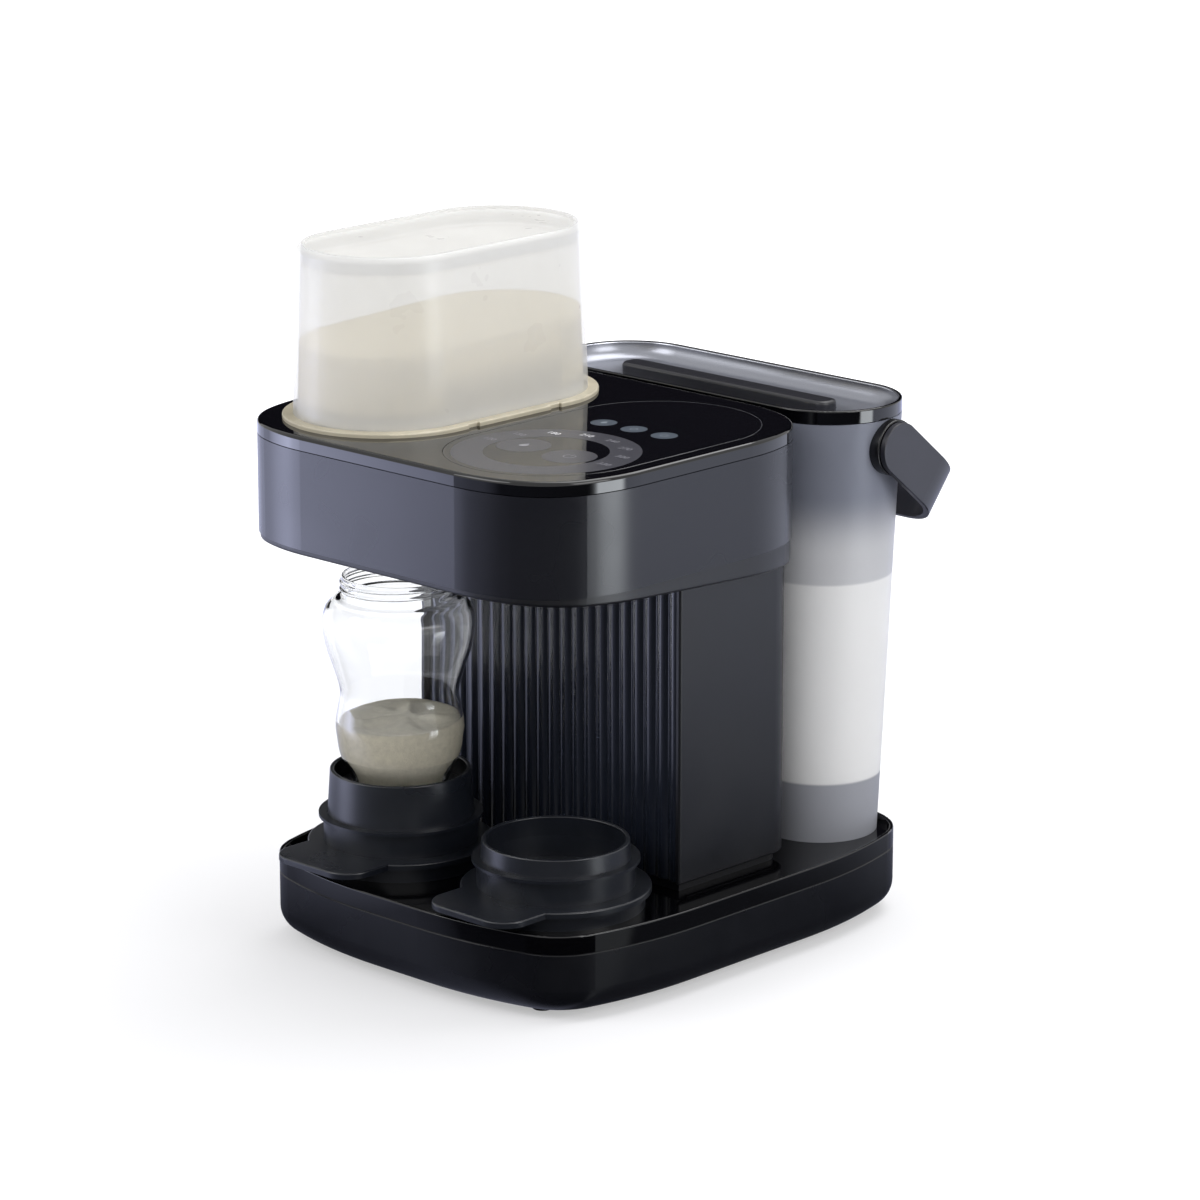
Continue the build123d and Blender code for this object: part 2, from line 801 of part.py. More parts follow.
with BuildPart() as head_hollow:
    with BuildSketch(Plane((0, head_y, band_bottom))):
        add(inset(head_outline, pan_inset + head_wall))
    extrude(amount=-pan_depth)
    split(bisect_by=under_plane.offset(head_wall), keep=Keep.TOP)

with BuildPart() as head_pan:
    with BuildSketch(Plane((0, head_y, band_bottom))):
        add(inset(head_outline, pan_inset))
    extrude(amount=-pan_depth - 1.0)
    split(bisect_by=under_plane, keep=Keep.TOP)
    fillet(head_pan.faces().sort_by(Axis.Z)[0].edges(), under_round)
    add(head_hollow.part, mode=Mode.SUBTRACT)
    with BuildSketch(Plane((0, head_y, band_bottom + lip_depth - 1.0))):
        add(inset(head_outline, head_wall + slide_gap))
        add(inset(head_outline, head_wall + slide_gap + lip_wall), mode=Mode.SUBTRACT)
    extrude(amount=-lip_depth - 1.0)
    with BuildSketch(Plane((0, column_y, band_bottom))):
        Rectangle(2 * (column_half - duct_margin), column_deep - 2 * duct_margin)
    extrude(amount=-pan_depth - head_wall, mode=Mode.SUBTRACT)
    with BuildSketch(Plane((*left_station, band_bottom))):
        Circle(chute_radius + slide_gap)
    extrude(amount=-pan_depth, mode=Mode.SUBTRACT)
    with BuildSketch(Plane((*right_station, band_bottom))):
        Circle(nozzle_radius + slide_gap)
    extrude(amount=-pan_depth, mode=Mode.SUBTRACT)
head_pan.part.label = "head_pan"
export_step(head_pan.part, "parts/head_pan.step")

with BuildPart() as head_band:
    with BuildSketch(Plane((0, head_y, band_bottom))):
        add(head_outline)
        add(inset(head_outline, head_wall), mode=Mode.SUBTRACT)
    extrude(amount=band_top - band_bottom)
head_band.part.label = "head_band"
export_step(head_band.part, "parts/head_band.step")

control_x = -hopper_x
glass_radius = flange_radius - 0.4
glass_thick = 1.2
glass_gap = 0.2
glass_edge = 0.2
board_drop = 4.0
board_radius = 41.0
board_stud = 2.5
chip_tall = 4.0
under_skin = head_top - top_skin

with BuildPart() as top_panel:
    with BuildSketch(Plane((0, head_y, band_top))):
        add(head_outline)
    extrude(amount=head_top - band_top)
    fillet(top_panel.faces().sort_by(Axis.Z)[-1].edges(), top_round)
    chamfer(top_panel.faces().sort_by(Axis.Z)[0].edges(), seam)
    with BuildSketch(Plane((0, head_y, band_top))):
        add(inset(head_outline, head_wall))
    extrude(amount=under_skin - band_top, mode=Mode.SUBTRACT)
    with BuildSketch(Plane((0, head_y, band_top - lip_depth))):
        add(inset(head_outline, head_wall + slide_gap))
        add(inset(head_outline, head_wall + slide_gap + lip_wall), mode=Mode.SUBTRACT)
    extrude(amount=lip_depth + under_skin - band_top)
    with BuildSketch(Plane((hopper_x, hopper_y, band_top))):
        add(hopper_slot(neck_radius + slide_gap))
    extrude(amount=head_top, mode=Mode.SUBTRACT)
    with BuildSketch(Plane((control_x, hopper_y, head_top - glass_thick))):
        add(hopper_slot(glass_radius))
    extrude(amount=glass_thick, mode=Mode.SUBTRACT)
    with BuildSketch(Plane((control_x, hopper_y, under_skin - board_drop))):
        with GridLocations(60.0, 90.0, 2, 2):
            Circle(board_stud)
    extrude(amount=board_drop)
top_panel.part.label = "top_panel"
export_step(top_panel.part, "parts/top_panel.step")

with BuildPart() as control_glass:
    with BuildSketch(Plane((control_x, hopper_y, head_top - glass_thick))):
        add(hopper_slot(glass_radius - glass_gap))
    extrude(amount=glass_thick)
    chamfer(control_glass.faces().sort_by(Axis.Z)[-1].edges(), glass_edge)
control_glass.part.label = "control_glass"
export_step(control_glass.part, "parts/control_glass.step")

with BuildPart() as control_board:
    with BuildSketch(Plane((control_x, hopper_y, under_skin - board_drop))):
        add(hopper_slot(board_radius))
    extrude(amount=-board_thick)
    with BuildSketch(Plane((control_x, hopper_y, under_skin - board_drop - board_thick))):
        with Locations((0, -30)):
            Rectangle(24, 18)
        with Locations((-18, 28), (18, 28)):
            Rectangle(12, 12)
    extrude(amount=-chip_tall)
control_board.part.label = "control_board"
export_step(control_board.part, "parts/control_board.step")


# ---- dosing works -----------------------------------------------------------------
gear_distance = gear_module * (wheel_teeth + pinion_teeth) / 2
pinion_place = (hopper_x + gear_distance, hopper_y)
pinion_tip = gear_module * (pinion_teeth / 2 + 1)
outlet_dx = left_station[0] - hopper_x
outlet_dy = left_station[1] - hopper_y
dose_circle = sqrt(outlet_dx ** 2 + outlet_dy ** 2)
dose_angle = degrees(atan2(outlet_dy, outlet_dx))
well_bottom = neck_bottom - slide_gap - well_floor
tooth_bottom = wheel_bottom + 1.0
window_half = pinion_tip + 2.0
window_top = wheel_bottom + wheel_thick + 1.0
shaft_bottom = well_bottom - motor_bore + 1.0

with BuildPart() as hopper_well:
    with BuildSketch(Plane((hopper_x, hopper_y, well_bottom))):
        add(hopper_slot(neck_radius + slide_gap + well_wall))
    extrude(amount=under_skin - well_bottom)
    with BuildSketch(Plane((*pinion_place, well_bottom))):
        Circle(motor_radius + well_wall)
        with Locations((-motor_radius, 0)):
            Rectangle(2 * motor_radius, 2 * (motor_radius + well_wall))
    extrude(amount=well_floor)
    with BuildSketch(Plane((hopper_x, hopper_y, well_bottom + well_floor))):
        add(hopper_slot(neck_radius + slide_gap))
    extrude(amount=under_skin - well_bottom, mode=Mode.SUBTRACT)
    with BuildSketch(Plane((*pinion_place, well_bottom + well_floor))):
        with Locations((-window_half, 0)):
            Rectangle(2 * window_half, 2 * window_half)
    extrude(amount=window_top + 1.0 - well_bottom - well_floor, mode=Mode.SUBTRACT)
    with BuildSketch(Plane((*left_station, well_bottom))):
        Circle(outlet_radius + 1.0)
    extrude(amount=well_floor, mode=Mode.SUBTRACT)
    with BuildSketch(Plane((*pinion_place, well_bottom))):
        Circle(motor_shaft + 1.0)
    extrude(amount=well_floor, mode=Mode.SUBTRACT)
hopper_well.part.label = "hopper_well"
export_step(hopper_well.part, "parts/hopper_well.step")

with BuildPart() as dosing_motor:
    with BuildSketch(Plane((*pinion_place, well_bottom))):
        Circle(motor_radius)
    extrude(amount=-motor_height)
    chamfer(dosing_motor.edges().group_by(Axis.Z)[0], motor_edge)
    with BuildSketch(Plane((*pinion_place, well_bottom))):
        Circle(motor_shaft + run_gap)
    extrude(amount=-motor_bore, mode=Mode.SUBTRACT)
dosing_motor.part.label = "dosing_motor"
export_step(dosing_motor.part, "parts/dosing_motor.step")

pinion_phase = 180 + 180 / pinion_teeth if wheel_teeth % 2 == 0 else 180

with BuildPart() as drive_pinion:
    with BuildSketch(Plane((*pinion_place, tooth_bottom))):
        add(gear_outline(pinion_teeth, pinion_phase))
    extrude(amount=tooth_face)
    with BuildSketch(Plane((*pinion_place, shaft_bottom))):
        Circle(motor_shaft)
    extrude(amount=tooth_bottom - shaft_bottom)
drive_pinion.part.label = "drive_pinion"
export_step(drive_pinion.part, "parts/drive_pinion.step")

wheel_root = gear_module * (wheel_teeth / 2 - 1.25)

with BuildPart() as dosing_wheel:
    with BuildSketch(Plane((hopper_x, hopper_y, tooth_bottom))):
        add(gear_outline(wheel_teeth, 0))
    extrude(amount=tooth_face)
    with BuildSketch(Plane((hopper_x, hopper_y, wheel_bottom))):
        Circle(wheel_root - 0.4)
    extrude(amount=wheel_thick)
    with BuildSketch(Plane((hopper_x, hopper_y, wheel_bottom))):
        Circle(axle_radius + run_gap)
        with PolarLocations(dose_circle, dose_count, start_angle=dose_angle):
            Circle(dose_radius)
    extrude(amount=wheel_thick, mode=Mode.SUBTRACT)
dosing_wheel.part.label = "dosing_wheel"
export_step(dosing_wheel.part, "parts/dosing_wheel.step")

with BuildPart() as powder_chute:
    with BuildSketch(Plane.XZ):
        with BuildLine():
            Polyline(
                (outlet_radius + 0.5, well_bottom),
                (chute_brim, well_bottom),
                (chute_brim, well_bottom - chute_wall),
                (chute_radius, well_bottom - chute_wall - 3.0),
                (chute_radius, chute_tip),
                (chute_radius - chute_wall, chute_tip),
                (chute_radius - chute_wall, well_bottom - chute_wall - 4.0),
                close=True,
            )
        make_face()
    revolve(axis=Axis.Z)
powder_chute.part.position = (*left_station, 0)
powder_chute.part.label = "powder_chute"
export_step(powder_chute.part, "parts/powder_chute.step")

with BuildPart() as water_nozzle:
    with BuildSketch(Plane.XZ):
        with BuildLine():
            Polyline(
                (nozzle_bore, nozzle_top),
                (hose_bore, nozzle_top),
                (hose_bore, nozzle_top - barb_length),
                (nozzle_brim, nozzle_top - barb_length - 1.0),
                (nozzle_brim, nozzle_top - barb_length - 3.0),
                (nozzle_radius, nozzle_top - barb_length - 4.0),
                (nozzle_radius, under_height(station_y) - 1.0),
                (nozzle_lip, nozzle_tip),
                (nozzle_bore, nozzle_tip),
                close=True,
            )
        make_face()
    revolve(axis=Axis.Z)
water_nozzle.part.position = (*right_station, 0)
water_nozzle.part.label = "water_nozzle"
export_step(water_nozzle.part, "parts/water_nozzle.step")


# ---- powder hopper ----------------------------------------------------------------
def tub_radius(height):
    """Outside radius of the tub's tapering wall at a height."""
    share = (height - flange_top) / (tub_top - flange_top)
    return tub_foot_radius + (tub_top_radius - tub_foot_radius) * share


def tub_block(bottom, top, smaller):
    """Solid between two heights of the tub's taper, drawn smaller by a wall."""
    with BuildPart() as block:
        with BuildSketch(Plane((hopper_x, hopper_y, bottom))):
            add(hopper_slot(tub_radius(bottom) - smaller))
        with BuildSketch(Plane((hopper_x, hopper_y, top))):
            add(hopper_slot(tub_radius(top) - smaller))
        loft(ruled=True)
    return block.part


spigot_radius = tub_foot_radius - tub_wall - slide_gap
ledge_top = tub_top - ledge_drop
lid_plug = tub_top_radius - tub_wall - slide_gap
lid_under = tub_top - hopper_lid_dish - hopper_lid_wall

with BuildPart() as hopper_tub:
    add(tub_block(flange_top, tub_top, 0))
    fillet(hopper_tub.faces().sort_by(Axis.Z)[-1].edges(), tub_round)
    add(tub_block(flange_top, tub_top, tub_wall), mode=Mode.SUBTRACT)
    with BuildSketch(Plane((hopper_x, hopper_y, ledge_top - ledge_tall))):
        add(hopper_slot(tub_radius(ledge_top) - tub_wall / 2))
        add(hopper_slot(lid_plug - ledge_width), mode=Mode.SUBTRACT)
    extrude(amount=ledge_tall)
hopper_tub.part.label = "hopper_tub"
export_step(hopper_tub.part, "parts/hopper_tub.step")

with BuildPart() as hopper_lid:
    with BuildSketch(Plane((hopper_x, hopper_y, ledge_top))):
        add(hopper_slot(lid_plug))
    extrude(amount=tub_top - ledge_top)
    with BuildSketch(Plane((hopper_x, hopper_y, ledge_top))):
        add(hopper_slot(lid_plug - hopper_lid_wall))
    extrude(amount=lid_under - ledge_top, mode=Mode.SUBTRACT)
    with BuildSketch(Plane((hopper_x, hopper_y, tub_top - hopper_lid_dish))):
        add(hopper_slot(lid_plug - hopper_lid_wall))
    extrude(amount=hopper_lid_dish, mode=Mode.SUBTRACT)
hopper_lid.part.label = "hopper_lid"
export_step(hopper_lid.part, "parts/hopper_lid.step")

with BuildPart() as hopper_base:
    with BuildSketch(Plane((hopper_x, hopper_y, neck_bottom))):
        add(hopper_slot(neck_radius))
    extrude(amount=head_top - neck_bottom)
    with BuildSketch(Plane((hopper_x, hopper_y, head_top))):
        add(hopper_slot(flange_radius))
        with Locations((flange_radius, -notch_spread), (flange_radius, notch_spread)):
            Rectangle(2 * notch_depth, notch_width, mode=Mode.SUBTRACT)
    extrude(amount=flange_top - head_top)
    fillet(hopper_base.faces().sort_by(Axis.Z)[-1].edges(), flange_edge)
    with BuildSketch(Plane((hopper_x, hopper_y, flange_top))):
        add(hopper_slot(spigot_radius))
    extrude(amount=spigot_height)
    with BuildSketch(Plane((hopper_x, hopper_y, neck_bottom + neck_wall))):
        add(hopper_slot(neck_radius - neck_wall))
    extrude(amount=feed_plate_top - neck_bottom - neck_wall, mode=Mode.SUBTRACT)
    with BuildSketch(Plane((hopper_x, hopper_y, feed_plate_top))):
        add(hopper_slot(spigot_radius - spigot_wall))
    extrude(amount=flange_top + spigot_height - feed_plate_top, mode=Mode.SUBTRACT)
    # the pinion reaches in here, and the neck lifts off it
    with BuildSketch(Plane((*pinion_place, neck_bottom))):
        with Locations((window_half, 0)):
            Rectangle(2 * window_half, 2 * window_half)
        Circle(window_half)
    extrude(amount=window_top - neck_bottom, mode=Mode.SUBTRACT)
    with BuildSketch(Plane((*left_station, neck_bottom))):
        Circle(outlet_radius)
    extrude(amount=neck_wall, mode=Mode.SUBTRACT)
    with BuildSketch(Plane((hopper_x, hopper_y, neck_bottom + neck_wall / 2))):
        Circle(axle_radius)
    extrude(amount=wheel_bottom + wheel_thick - 0.5 - neck_bottom - neck_wall / 2)
hopper_base.part.label = "hopper_base"
export_step(hopper_base.part, "parts/hopper_base.step")

with BuildPart() as feed_plate:
    with BuildSketch(Plane((hopper_x, hopper_y, feed_plate_top - feed_plate_thick))):
        add(hopper_slot(neck_radius - neck_wall))
        with PolarLocations(dose_circle, dose_count, start_angle=dose_angle):
            Circle(dose_radius, mode=Mode.SUBTRACT)
        with Locations((outlet_dx, outlet_dy)):
            Circle(dose_radius + 1.0)
    extrude(amount=feed_plate_thick)
feed_plate.part.label = "feed_plate"
export_step(feed_plate.part, "parts/feed_plate.step")

powder_top = Plane(
    origin=(hopper_x, hopper_y, powder_level),
    x_dir=(1, 0, 0),
    z_dir=(0, -sin(radians(powder_tilt)), cos(radians(powder_tilt))),
)

with BuildPart() as powder_fill:
    with BuildSketch(Plane((hopper_x, hopper_y, feed_plate_top))):
        add(hopper_slot(spigot_radius - spigot_wall))
    extrude(amount=flange_top + spigot_height - feed_plate_top)
    add(tub_block(flange_top + spigot_height, powder_level + 10.0, tub_wall))
    split(bisect_by=powder_top, keep=Keep.BOTTOM)
powder_fill.part.label = "powder_fill"
export_step(powder_fill.part, "parts/powder_fill.step")


# ---- tank ---------------------------------------------------------------------------
def tank_block(bottom, top, smaller):
    """Solid between two heights of the tank's taper, drawn smaller by a wall."""
    with BuildPart() as block:
        with BuildSketch(Plane((0, tank_y, bottom))):
            add(tank_slot(bottom, smaller))
        with BuildSketch(Plane((0, tank_y, top))):
            add(tank_slot(top, smaller))
        loft(ruled=True)
    return block.part


def tank_half(height):
    """Half the tank's length at a height."""
    share = (height - deck_top) / (tank_top - deck_top)
    return tank_bottom_half + (tank_top_half - tank_bottom_half) * share


pivot_plane = Plane(origin=(0, pivot_y, pivot_height), z_dir=(1, 0, 0))
seat_radius = 4.5
valve_bore = 7.4
seat_height = stem_rest + valve_travel
poppet_radius = 6.0
poppet_thick = 2.0
poppet_rib = 1.4
seat_thick = 2.0
valve_brim = 3.0
valve_brim_thick = 1.5

with BuildPart() as tank_shell:
    add(tank_block(deck_top, tank_top, 0))
    add(tank_block(tank_floor, tank_top, tank_wall), mode=Mode.SUBTRACT)
    add(tank_block(deck_top, tank_floor - tank_floor_thick, tank_wall), mode=Mode.SUBTRACT)
    with BuildSketch(Plane((0, tank_y, tank_floor - tank_floor_thick))):
        Circle(valve_radius)
    extrude(amount=tank_floor_thick, mode=Mode.SUBTRACT)
    with BuildSketch(pivot_plane):
        Circle(pivot_pin)
    extrude(amount=2 * tank_top_half, both=True, mode=Mode.SUBTRACT)
tank_shell.part.label = "tank_shell"
export_step(tank_shell.part, "parts/tank_shell.step")

with BuildPart() as valve_body:
    with BuildSketch(Plane.XZ):
        with BuildLine():
            Polyline(
                (valve_bore, tank_floor + valve_brim_thick),
                (valve_radius + valve_brim, tank_floor + valve_brim_thick),
                (valve_radius + valve_brim, tank_floor),
                (valve_radius, tank_floor),
                (valve_radius, valve_foot),
                (valve_bore, valve_foot),
                (valve_bore, seat_height - seat_thick),
                (seat_radius, seat_height - seat_thick),
                (seat_radius, seat_height),
                (valve_bore, seat_height),
                close=True,
            )
        make_face()
    revolve(axis=Axis.Z)
valve_body.part.position = (0, tank_y, 0)
valve_body.part.label = "valve_body"
export_step(valve_body.part, "parts/valve_body.step")

with BuildPart() as tank_valve:
    with BuildSketch(Plane((0, tank_y, seat_height + valve_travel))):
        Circle(poppet_radius)
        with PolarLocations(0, 3):
            Rectangle(2 * (valve_bore - slide_gap), poppet_rib)
    extrude(amount=poppet_thick)
    with BuildSketch(Plane((0, tank_y, stem_rest + stem_gap))):
        Circle(push_pin)
    extrude(amount=seat_height + valve_travel - stem_rest - stem_gap)
tank_valve.part.label = "tank_valve"
export_step(tank_valve.part, "parts/tank_valve.step")

with BuildPart() as water_fill:
    add(tank_block(tank_floor, water_level, tank_wall))
    with BuildSketch(Plane((0, tank_y, tank_floor))):
        Circle(valve_radius + valve_brim)
    extrude(amount=valve_brim_thick, mode=Mode.SUBTRACT)
water_fill.part.label = "water_fill"
export_step(water_fill.part, "parts/water_fill.step")

boss_end = handle_half - handle_thick - slide_gap
boss_edge = 0.6
stub_inside = 1.0

with BuildPart() as handle_pivots:
    with BuildSketch(pivot_plane):
        Circle(pivot_boss)
    extrude(amount=boss_end, both=True)
    fillet(handle_pivots.faces().filter_by(GeomType.PLANE).edges(), boss_edge)
    with BuildSketch(pivot_plane):
        Circle(pivot_pin)
    extrude(amount=handle_half - pin_cover - slide_gap, both=True)
    add(tank_block(deck_top, lid_top, 0), mode=Mode.SUBTRACT)
    for side in (-1, 1):
        stub_start = side * (tank_half(pivot_height) - tank_wall - stub_inside)
        with BuildSketch(Plane(origin=(stub_start, pivot_y, pivot_height), z_dir=(side, 0, 0))):
            Circle(pivot_pin)
        extrude(amount=tank_wall + 2 * stub_inside)
handle_pivots.part.label = "handle_pivots"
export_step(handle_pivots.part, "parts/handle_pivots.step")

with BuildPart() as lid_seat:
    with BuildSketch(Plane((0, tank_y, lid_floor - lid_skin))):
        add(tank_slot(tank_top, lid_rim))
    extrude(amount=lid_top - lid_floor + lid_skin)
    fillet(lid_seat.faces().sort_by(Axis.Z)[0].edges(), lid_cove)

with BuildPart() as tank_lid:
    with BuildSketch(Plane((0, tank_y, tank_top))):
        add(tank_slot(tank_top))
    extrude(amount=lid_top - tank_top)
    fillet(tank_lid.faces().sort_by(Axis.Z)[-1].edges(), lid_rim / 2)
    chamfer(tank_lid.faces().sort_by(Axis.Z)[0].edges(), seam)
    with BuildSketch(Plane((0, tank_y, tank_top - lid_skirt))):
        add(tank_slot(tank_top - lid_skirt, tank_wall + slide_gap))
        add(tank_slot(tank_top, tank_wall + slide_gap + lid_skirt_wall), mode=Mode.SUBTRACT)
    extrude(amount=lid_skirt)
    add(lid_seat.part, mode=Mode.SUBTRACT)
tank_lid.part.label = "tank_lid"
export_step(tank_lid.part, "parts/tank_lid.step")

with BuildPart() as lid_dish:
    with BuildSketch(Plane((0, tank_y, lid_floor))):
        add(tank_slot(tank_top, lid_rim + lid_skin))
    extrude(amount=lid_top)
    fillet(lid_dish.faces().sort_by(Axis.Z)[0].edges(), lid_cove - lid_skin)

with BuildPart() as lid_plate:
    add(lid_seat.part)
    split(bisect_by=Plane((0, tank_y, lid_top - lid_sink)), keep=Keep.BOTTOM)
    add(lid_dish.part, mode=Mode.SUBTRACT)
lid_plate.part.label = "lid_plate"
export_step(lid_plate.part, "parts/lid_plate.step")

with BuildPart() as lid_grip:
    with BuildSketch(Plane((0, tank_y, lid_floor))) as grip_plan:
        Rectangle(2 * grip_half, grip_width)
        fillet(grip_plan.vertices(), grip_corner)
    extrude(amount=grip_top - lid_floor)
    fillet(lid_grip.faces().sort_by(Axis.Z)[-1].edges(), grip_round)
lid_grip.part.label = "lid_grip"
export_step(lid_grip.part, "parts/lid_grip.step")


def bail_outline(smaller):
    """Outline of the bent strap from above its plane, drawn smaller by a thickness."""
    tail = handle_wide
    with BuildSketch() as outline:
        with Locations((0, (handle_reach - smaller - tail) / 2)):
            Rectangle(2 * (handle_half - smaller), handle_reach - smaller + tail)
        fillet(outline.vertices().group_by(Axis.Y)[-1], handle_corner - smaller)
    return outline.sketch


with BuildPart() as handle:
    swing = Plane(
        origin=(0, pivot_y, pivot_height),
        x_dir=(1, 0, 0),
        z_dir=(0, sin(radians(handle_rest)), cos(radians(handle_rest))),
    )
    with BuildSketch(swing):
        add(bail_outline(0))
        add(bail_outline(handle_thick), mode=Mode.SUBTRACT)
    extrude(amount=handle_wide / 2, both=True)
    with BuildSketch(Plane(
        origin=(-handle_half, pivot_y, pivot_height),
        x_dir=swing.y_dir,
        z_dir=(1, 0, 0),
    )):
        Circle(handle_wide / 2)
        with Locations((handle_reach / 2, 0)):
            Rectangle(handle_reach, handle_wide)
    extrude(amount=2 * handle_half, mode=Mode.INTERSECT)
    fillet(handle.edges(), handle_edge)
    with BuildSketch(pivot_plane):
        Circle(pivot_pin + run_gap)
    extrude(amount=handle_half - pin_cover, both=True, mode=Mode.SUBTRACT)
handle.part.label = "handle"
export_step(handle.part, "parts/handle.step")


# ---- cup stations ---------------------------------------------------------------------
def make_stand(place):
    """Cup stand: foot ring, plate with a thumb tab, open cup for the riser."""
    with BuildPart() as stand:
        with BuildSketch(Plane((*place, stand_plate_top - stand_plate_thick))) as plate:
            with Locations((0, -tab_reach / 2)):
                Rectangle(2 * tab_half, tab_reach)
            fillet(plate.vertices().group_by(Axis.Y)[0], tab_corner)
            Circle(stand_plate)
            corners = plate.vertices().filter_by(
                lambda corner: abs(abs(corner.X - place[0]) - tab_half) < 0.01
                and -stand_plate < corner.Y - place[1] < -stand_plate / 2
            )
            fillet(corners, tab_blend)
        extrude(amount=stand_plate_thick)
        fillet(stand.faces().sort_by(Axis.Z)[-1].edges(), stand_edge)
        with BuildSketch(Plane((*place, deck_top))):
            Circle(stand_ring)
        extrude(amount=stand_plate_top - stand_plate_thick - deck_top)
        with BuildSketch(Plane((*place, stand_plate_top))):
            Circle(stand_cup)
        extrude(amount=stand_cup_top - stand_plate_top)
        with BuildSketch(Plane((*place, deck_top))):
            Circle(stand_ring - stand_ring_wall)
        extrude(amount=stand_plate_top - stand_plate_thick - deck_top, mode=Mode.SUBTRACT)
        with BuildSketch(Plane((*place, deck_top))):
            Circle(stand_cup - stand_cup_wall)
        extrude(amount=stand_cup_top, mode=Mode.SUBTRACT)
        fillet(stand.faces().sort_by(Axis.Z)[-1].edges(), cup_edge)
    return stand


def make_riser(place, tall_up):
    """Reversible cup insert: a collar, a tall cup on one side, a low one on the other."""
    upward = 1 if tall_up else -1
    with BuildPart() as riser:
        with BuildSketch(Plane(
            origin=(*place, collar_mid),
            x_dir=(1, 0, 0),
            z_dir=(0, -upward, 0),
        )):
            with BuildLine():
                Polyline(
                    (riser_root - riser_wall - riser_taper * riser_short, -riser_short),
                    (riser_root - riser_taper * riser_short, -riser_short),
                    (riser_root, -riser_collar_thick / 2),
                    (riser_collar, -riser_collar_thick / 2),
                    (riser_collar, riser_collar_thick / 2),
                    (riser_root, riser_collar_thick / 2),
                    (riser_root - riser_taper * riser_tall, riser_tall),
                    (riser_root - riser_wall - riser_taper * riser_tall, riser_tall),
                    (riser_root - riser_wall, 0),
                    close=True,
                )
            make_face()
            with BuildLine():
                Polyline(
                    (0, riser_floor - riser_floor_thick),
                    (riser_root - riser_wall, riser_floor - riser_floor_thick),
                    (riser_root - riser_wall, riser_floor),
                    (0, riser_floor),
                    close=True,
                )
            make_face()
        revolve(axis=Axis((*place, 0), (0, 0, 1)))
        fillet(riser.faces().sort_by(Axis.Z)[-1].edges(), riser_edge)
        fillet(riser.faces().sort_by(Axis.Z)[0].edges(), riser_edge)
    return riser


stand_left = make_stand(left_station)
stand_left.part.label = "stand_left"
export_step(stand_left.part, "parts/stand_left.step")

stand_right = make_stand(right_station)
stand_right.part.label = "stand_right"
export_step(stand_right.part, "parts/stand_right.step")

riser_left = make_riser(left_station, tall_up=True)
riser_left.part.label = "riser_left"
export_step(riser_left.part, "parts/riser_left.step")

riser_right = make_riser(right_station, tall_up=False)
riser_right.part.label = "riser_right"
export_step(riser_right.part, "parts/riser_right.step")


# ---- bottle -----------------------------------------------------------------------------
bottle_foot = collar_mid + riser_floor

bottle_inside = [(r - bottle_wall, z + bottle_floor) for r, z in bottle_outline[:2]]
bottle_inside += [(r - bottle_wall, z) for r, z in bottle_outline[2:]]

with BuildPart() as bottle_space:
    with BuildSketch(Plane.XZ):
        with BuildLine():
            inside = Spline(*bottle_inside)
            Polyline(
                inside @ 1,
                (bottle_neck - bottle_wall, bottle_neck_base),
                (bottle_neck - bottle_wall, bottle_height + 1.0),
                (0, bottle_height + 1.0),
                (0, bottle_inside[0][1]),
                inside @ 0,
            )
        make_face()
    revolve(axis=Axis.Z)

with BuildPart() as bottle:
    with BuildSketch(Plane.XZ):
        with BuildLine():
            outside = Spline(*bottle_outline)
            Polyline(
                outside @ 1,
                (bottle_neck, bottle_neck_base),
                (bottle_neck, bottle_height),
                (0, bottle_height),
                (0, 0),
                (bottle_outline[0][0] - 1.0, 0),
                outside @ 0,
            )
        make_face()
    revolve(axis=Axis.Z)
    with BuildSketch(Plane.XZ):
        with Locations((bottle_neck, bottle_bead_height)):
            Circle(bottle_bead)
    revolve(axis=Axis.Z)
    add(bottle_space.part, mode=Mode.SUBTRACT)
bottle.part.position = (*left_station, bottle_foot)
bottle.part.label = "bottle"
export_step(bottle.part, "parts/bottle.step")

bottle_powder_top = Plane(
    origin=(0, 0, bottle_fill),
    x_dir=(1, 0, 0),
    z_dir=(0, -sin(radians(bottle_fill_tilt)), cos(radians(bottle_fill_tilt))),
)

with BuildPart() as bottle_powder:
    add(bottle_space.part)
    split(bisect_by=bottle_powder_top, keep=Keep.BOTTOM)
bottle_powder.part.position = (*left_station, bottle_foot)
bottle_powder.part.label = "bottle_powder"
export_step(bottle_powder.part, "parts/bottle_powder.step")
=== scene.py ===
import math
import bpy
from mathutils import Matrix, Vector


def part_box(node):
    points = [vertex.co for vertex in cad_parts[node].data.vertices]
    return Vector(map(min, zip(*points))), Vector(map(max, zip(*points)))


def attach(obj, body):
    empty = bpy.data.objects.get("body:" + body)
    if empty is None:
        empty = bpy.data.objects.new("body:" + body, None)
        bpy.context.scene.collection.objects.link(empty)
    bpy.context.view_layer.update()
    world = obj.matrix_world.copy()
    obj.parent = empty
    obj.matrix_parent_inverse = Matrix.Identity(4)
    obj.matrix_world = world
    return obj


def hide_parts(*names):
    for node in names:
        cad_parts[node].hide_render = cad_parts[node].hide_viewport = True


bl_info = {
    "name": "Baby Formula Maker",
    "version": (1, 0, 0),
    "blender": (4, 5, 0),
    "location": "3D View > Sidebar > Formula Maker",
    "description": "Finishes, printed dial, bottle and powder for a baby formula maker",
    "category": "Object",
}

import bmesh
import bpy
from bpy.props import FloatProperty, FloatVectorProperty, PointerProperty
from mathutils import Matrix, Vector, noise
from mathutils.geometry import interpolate_bezier

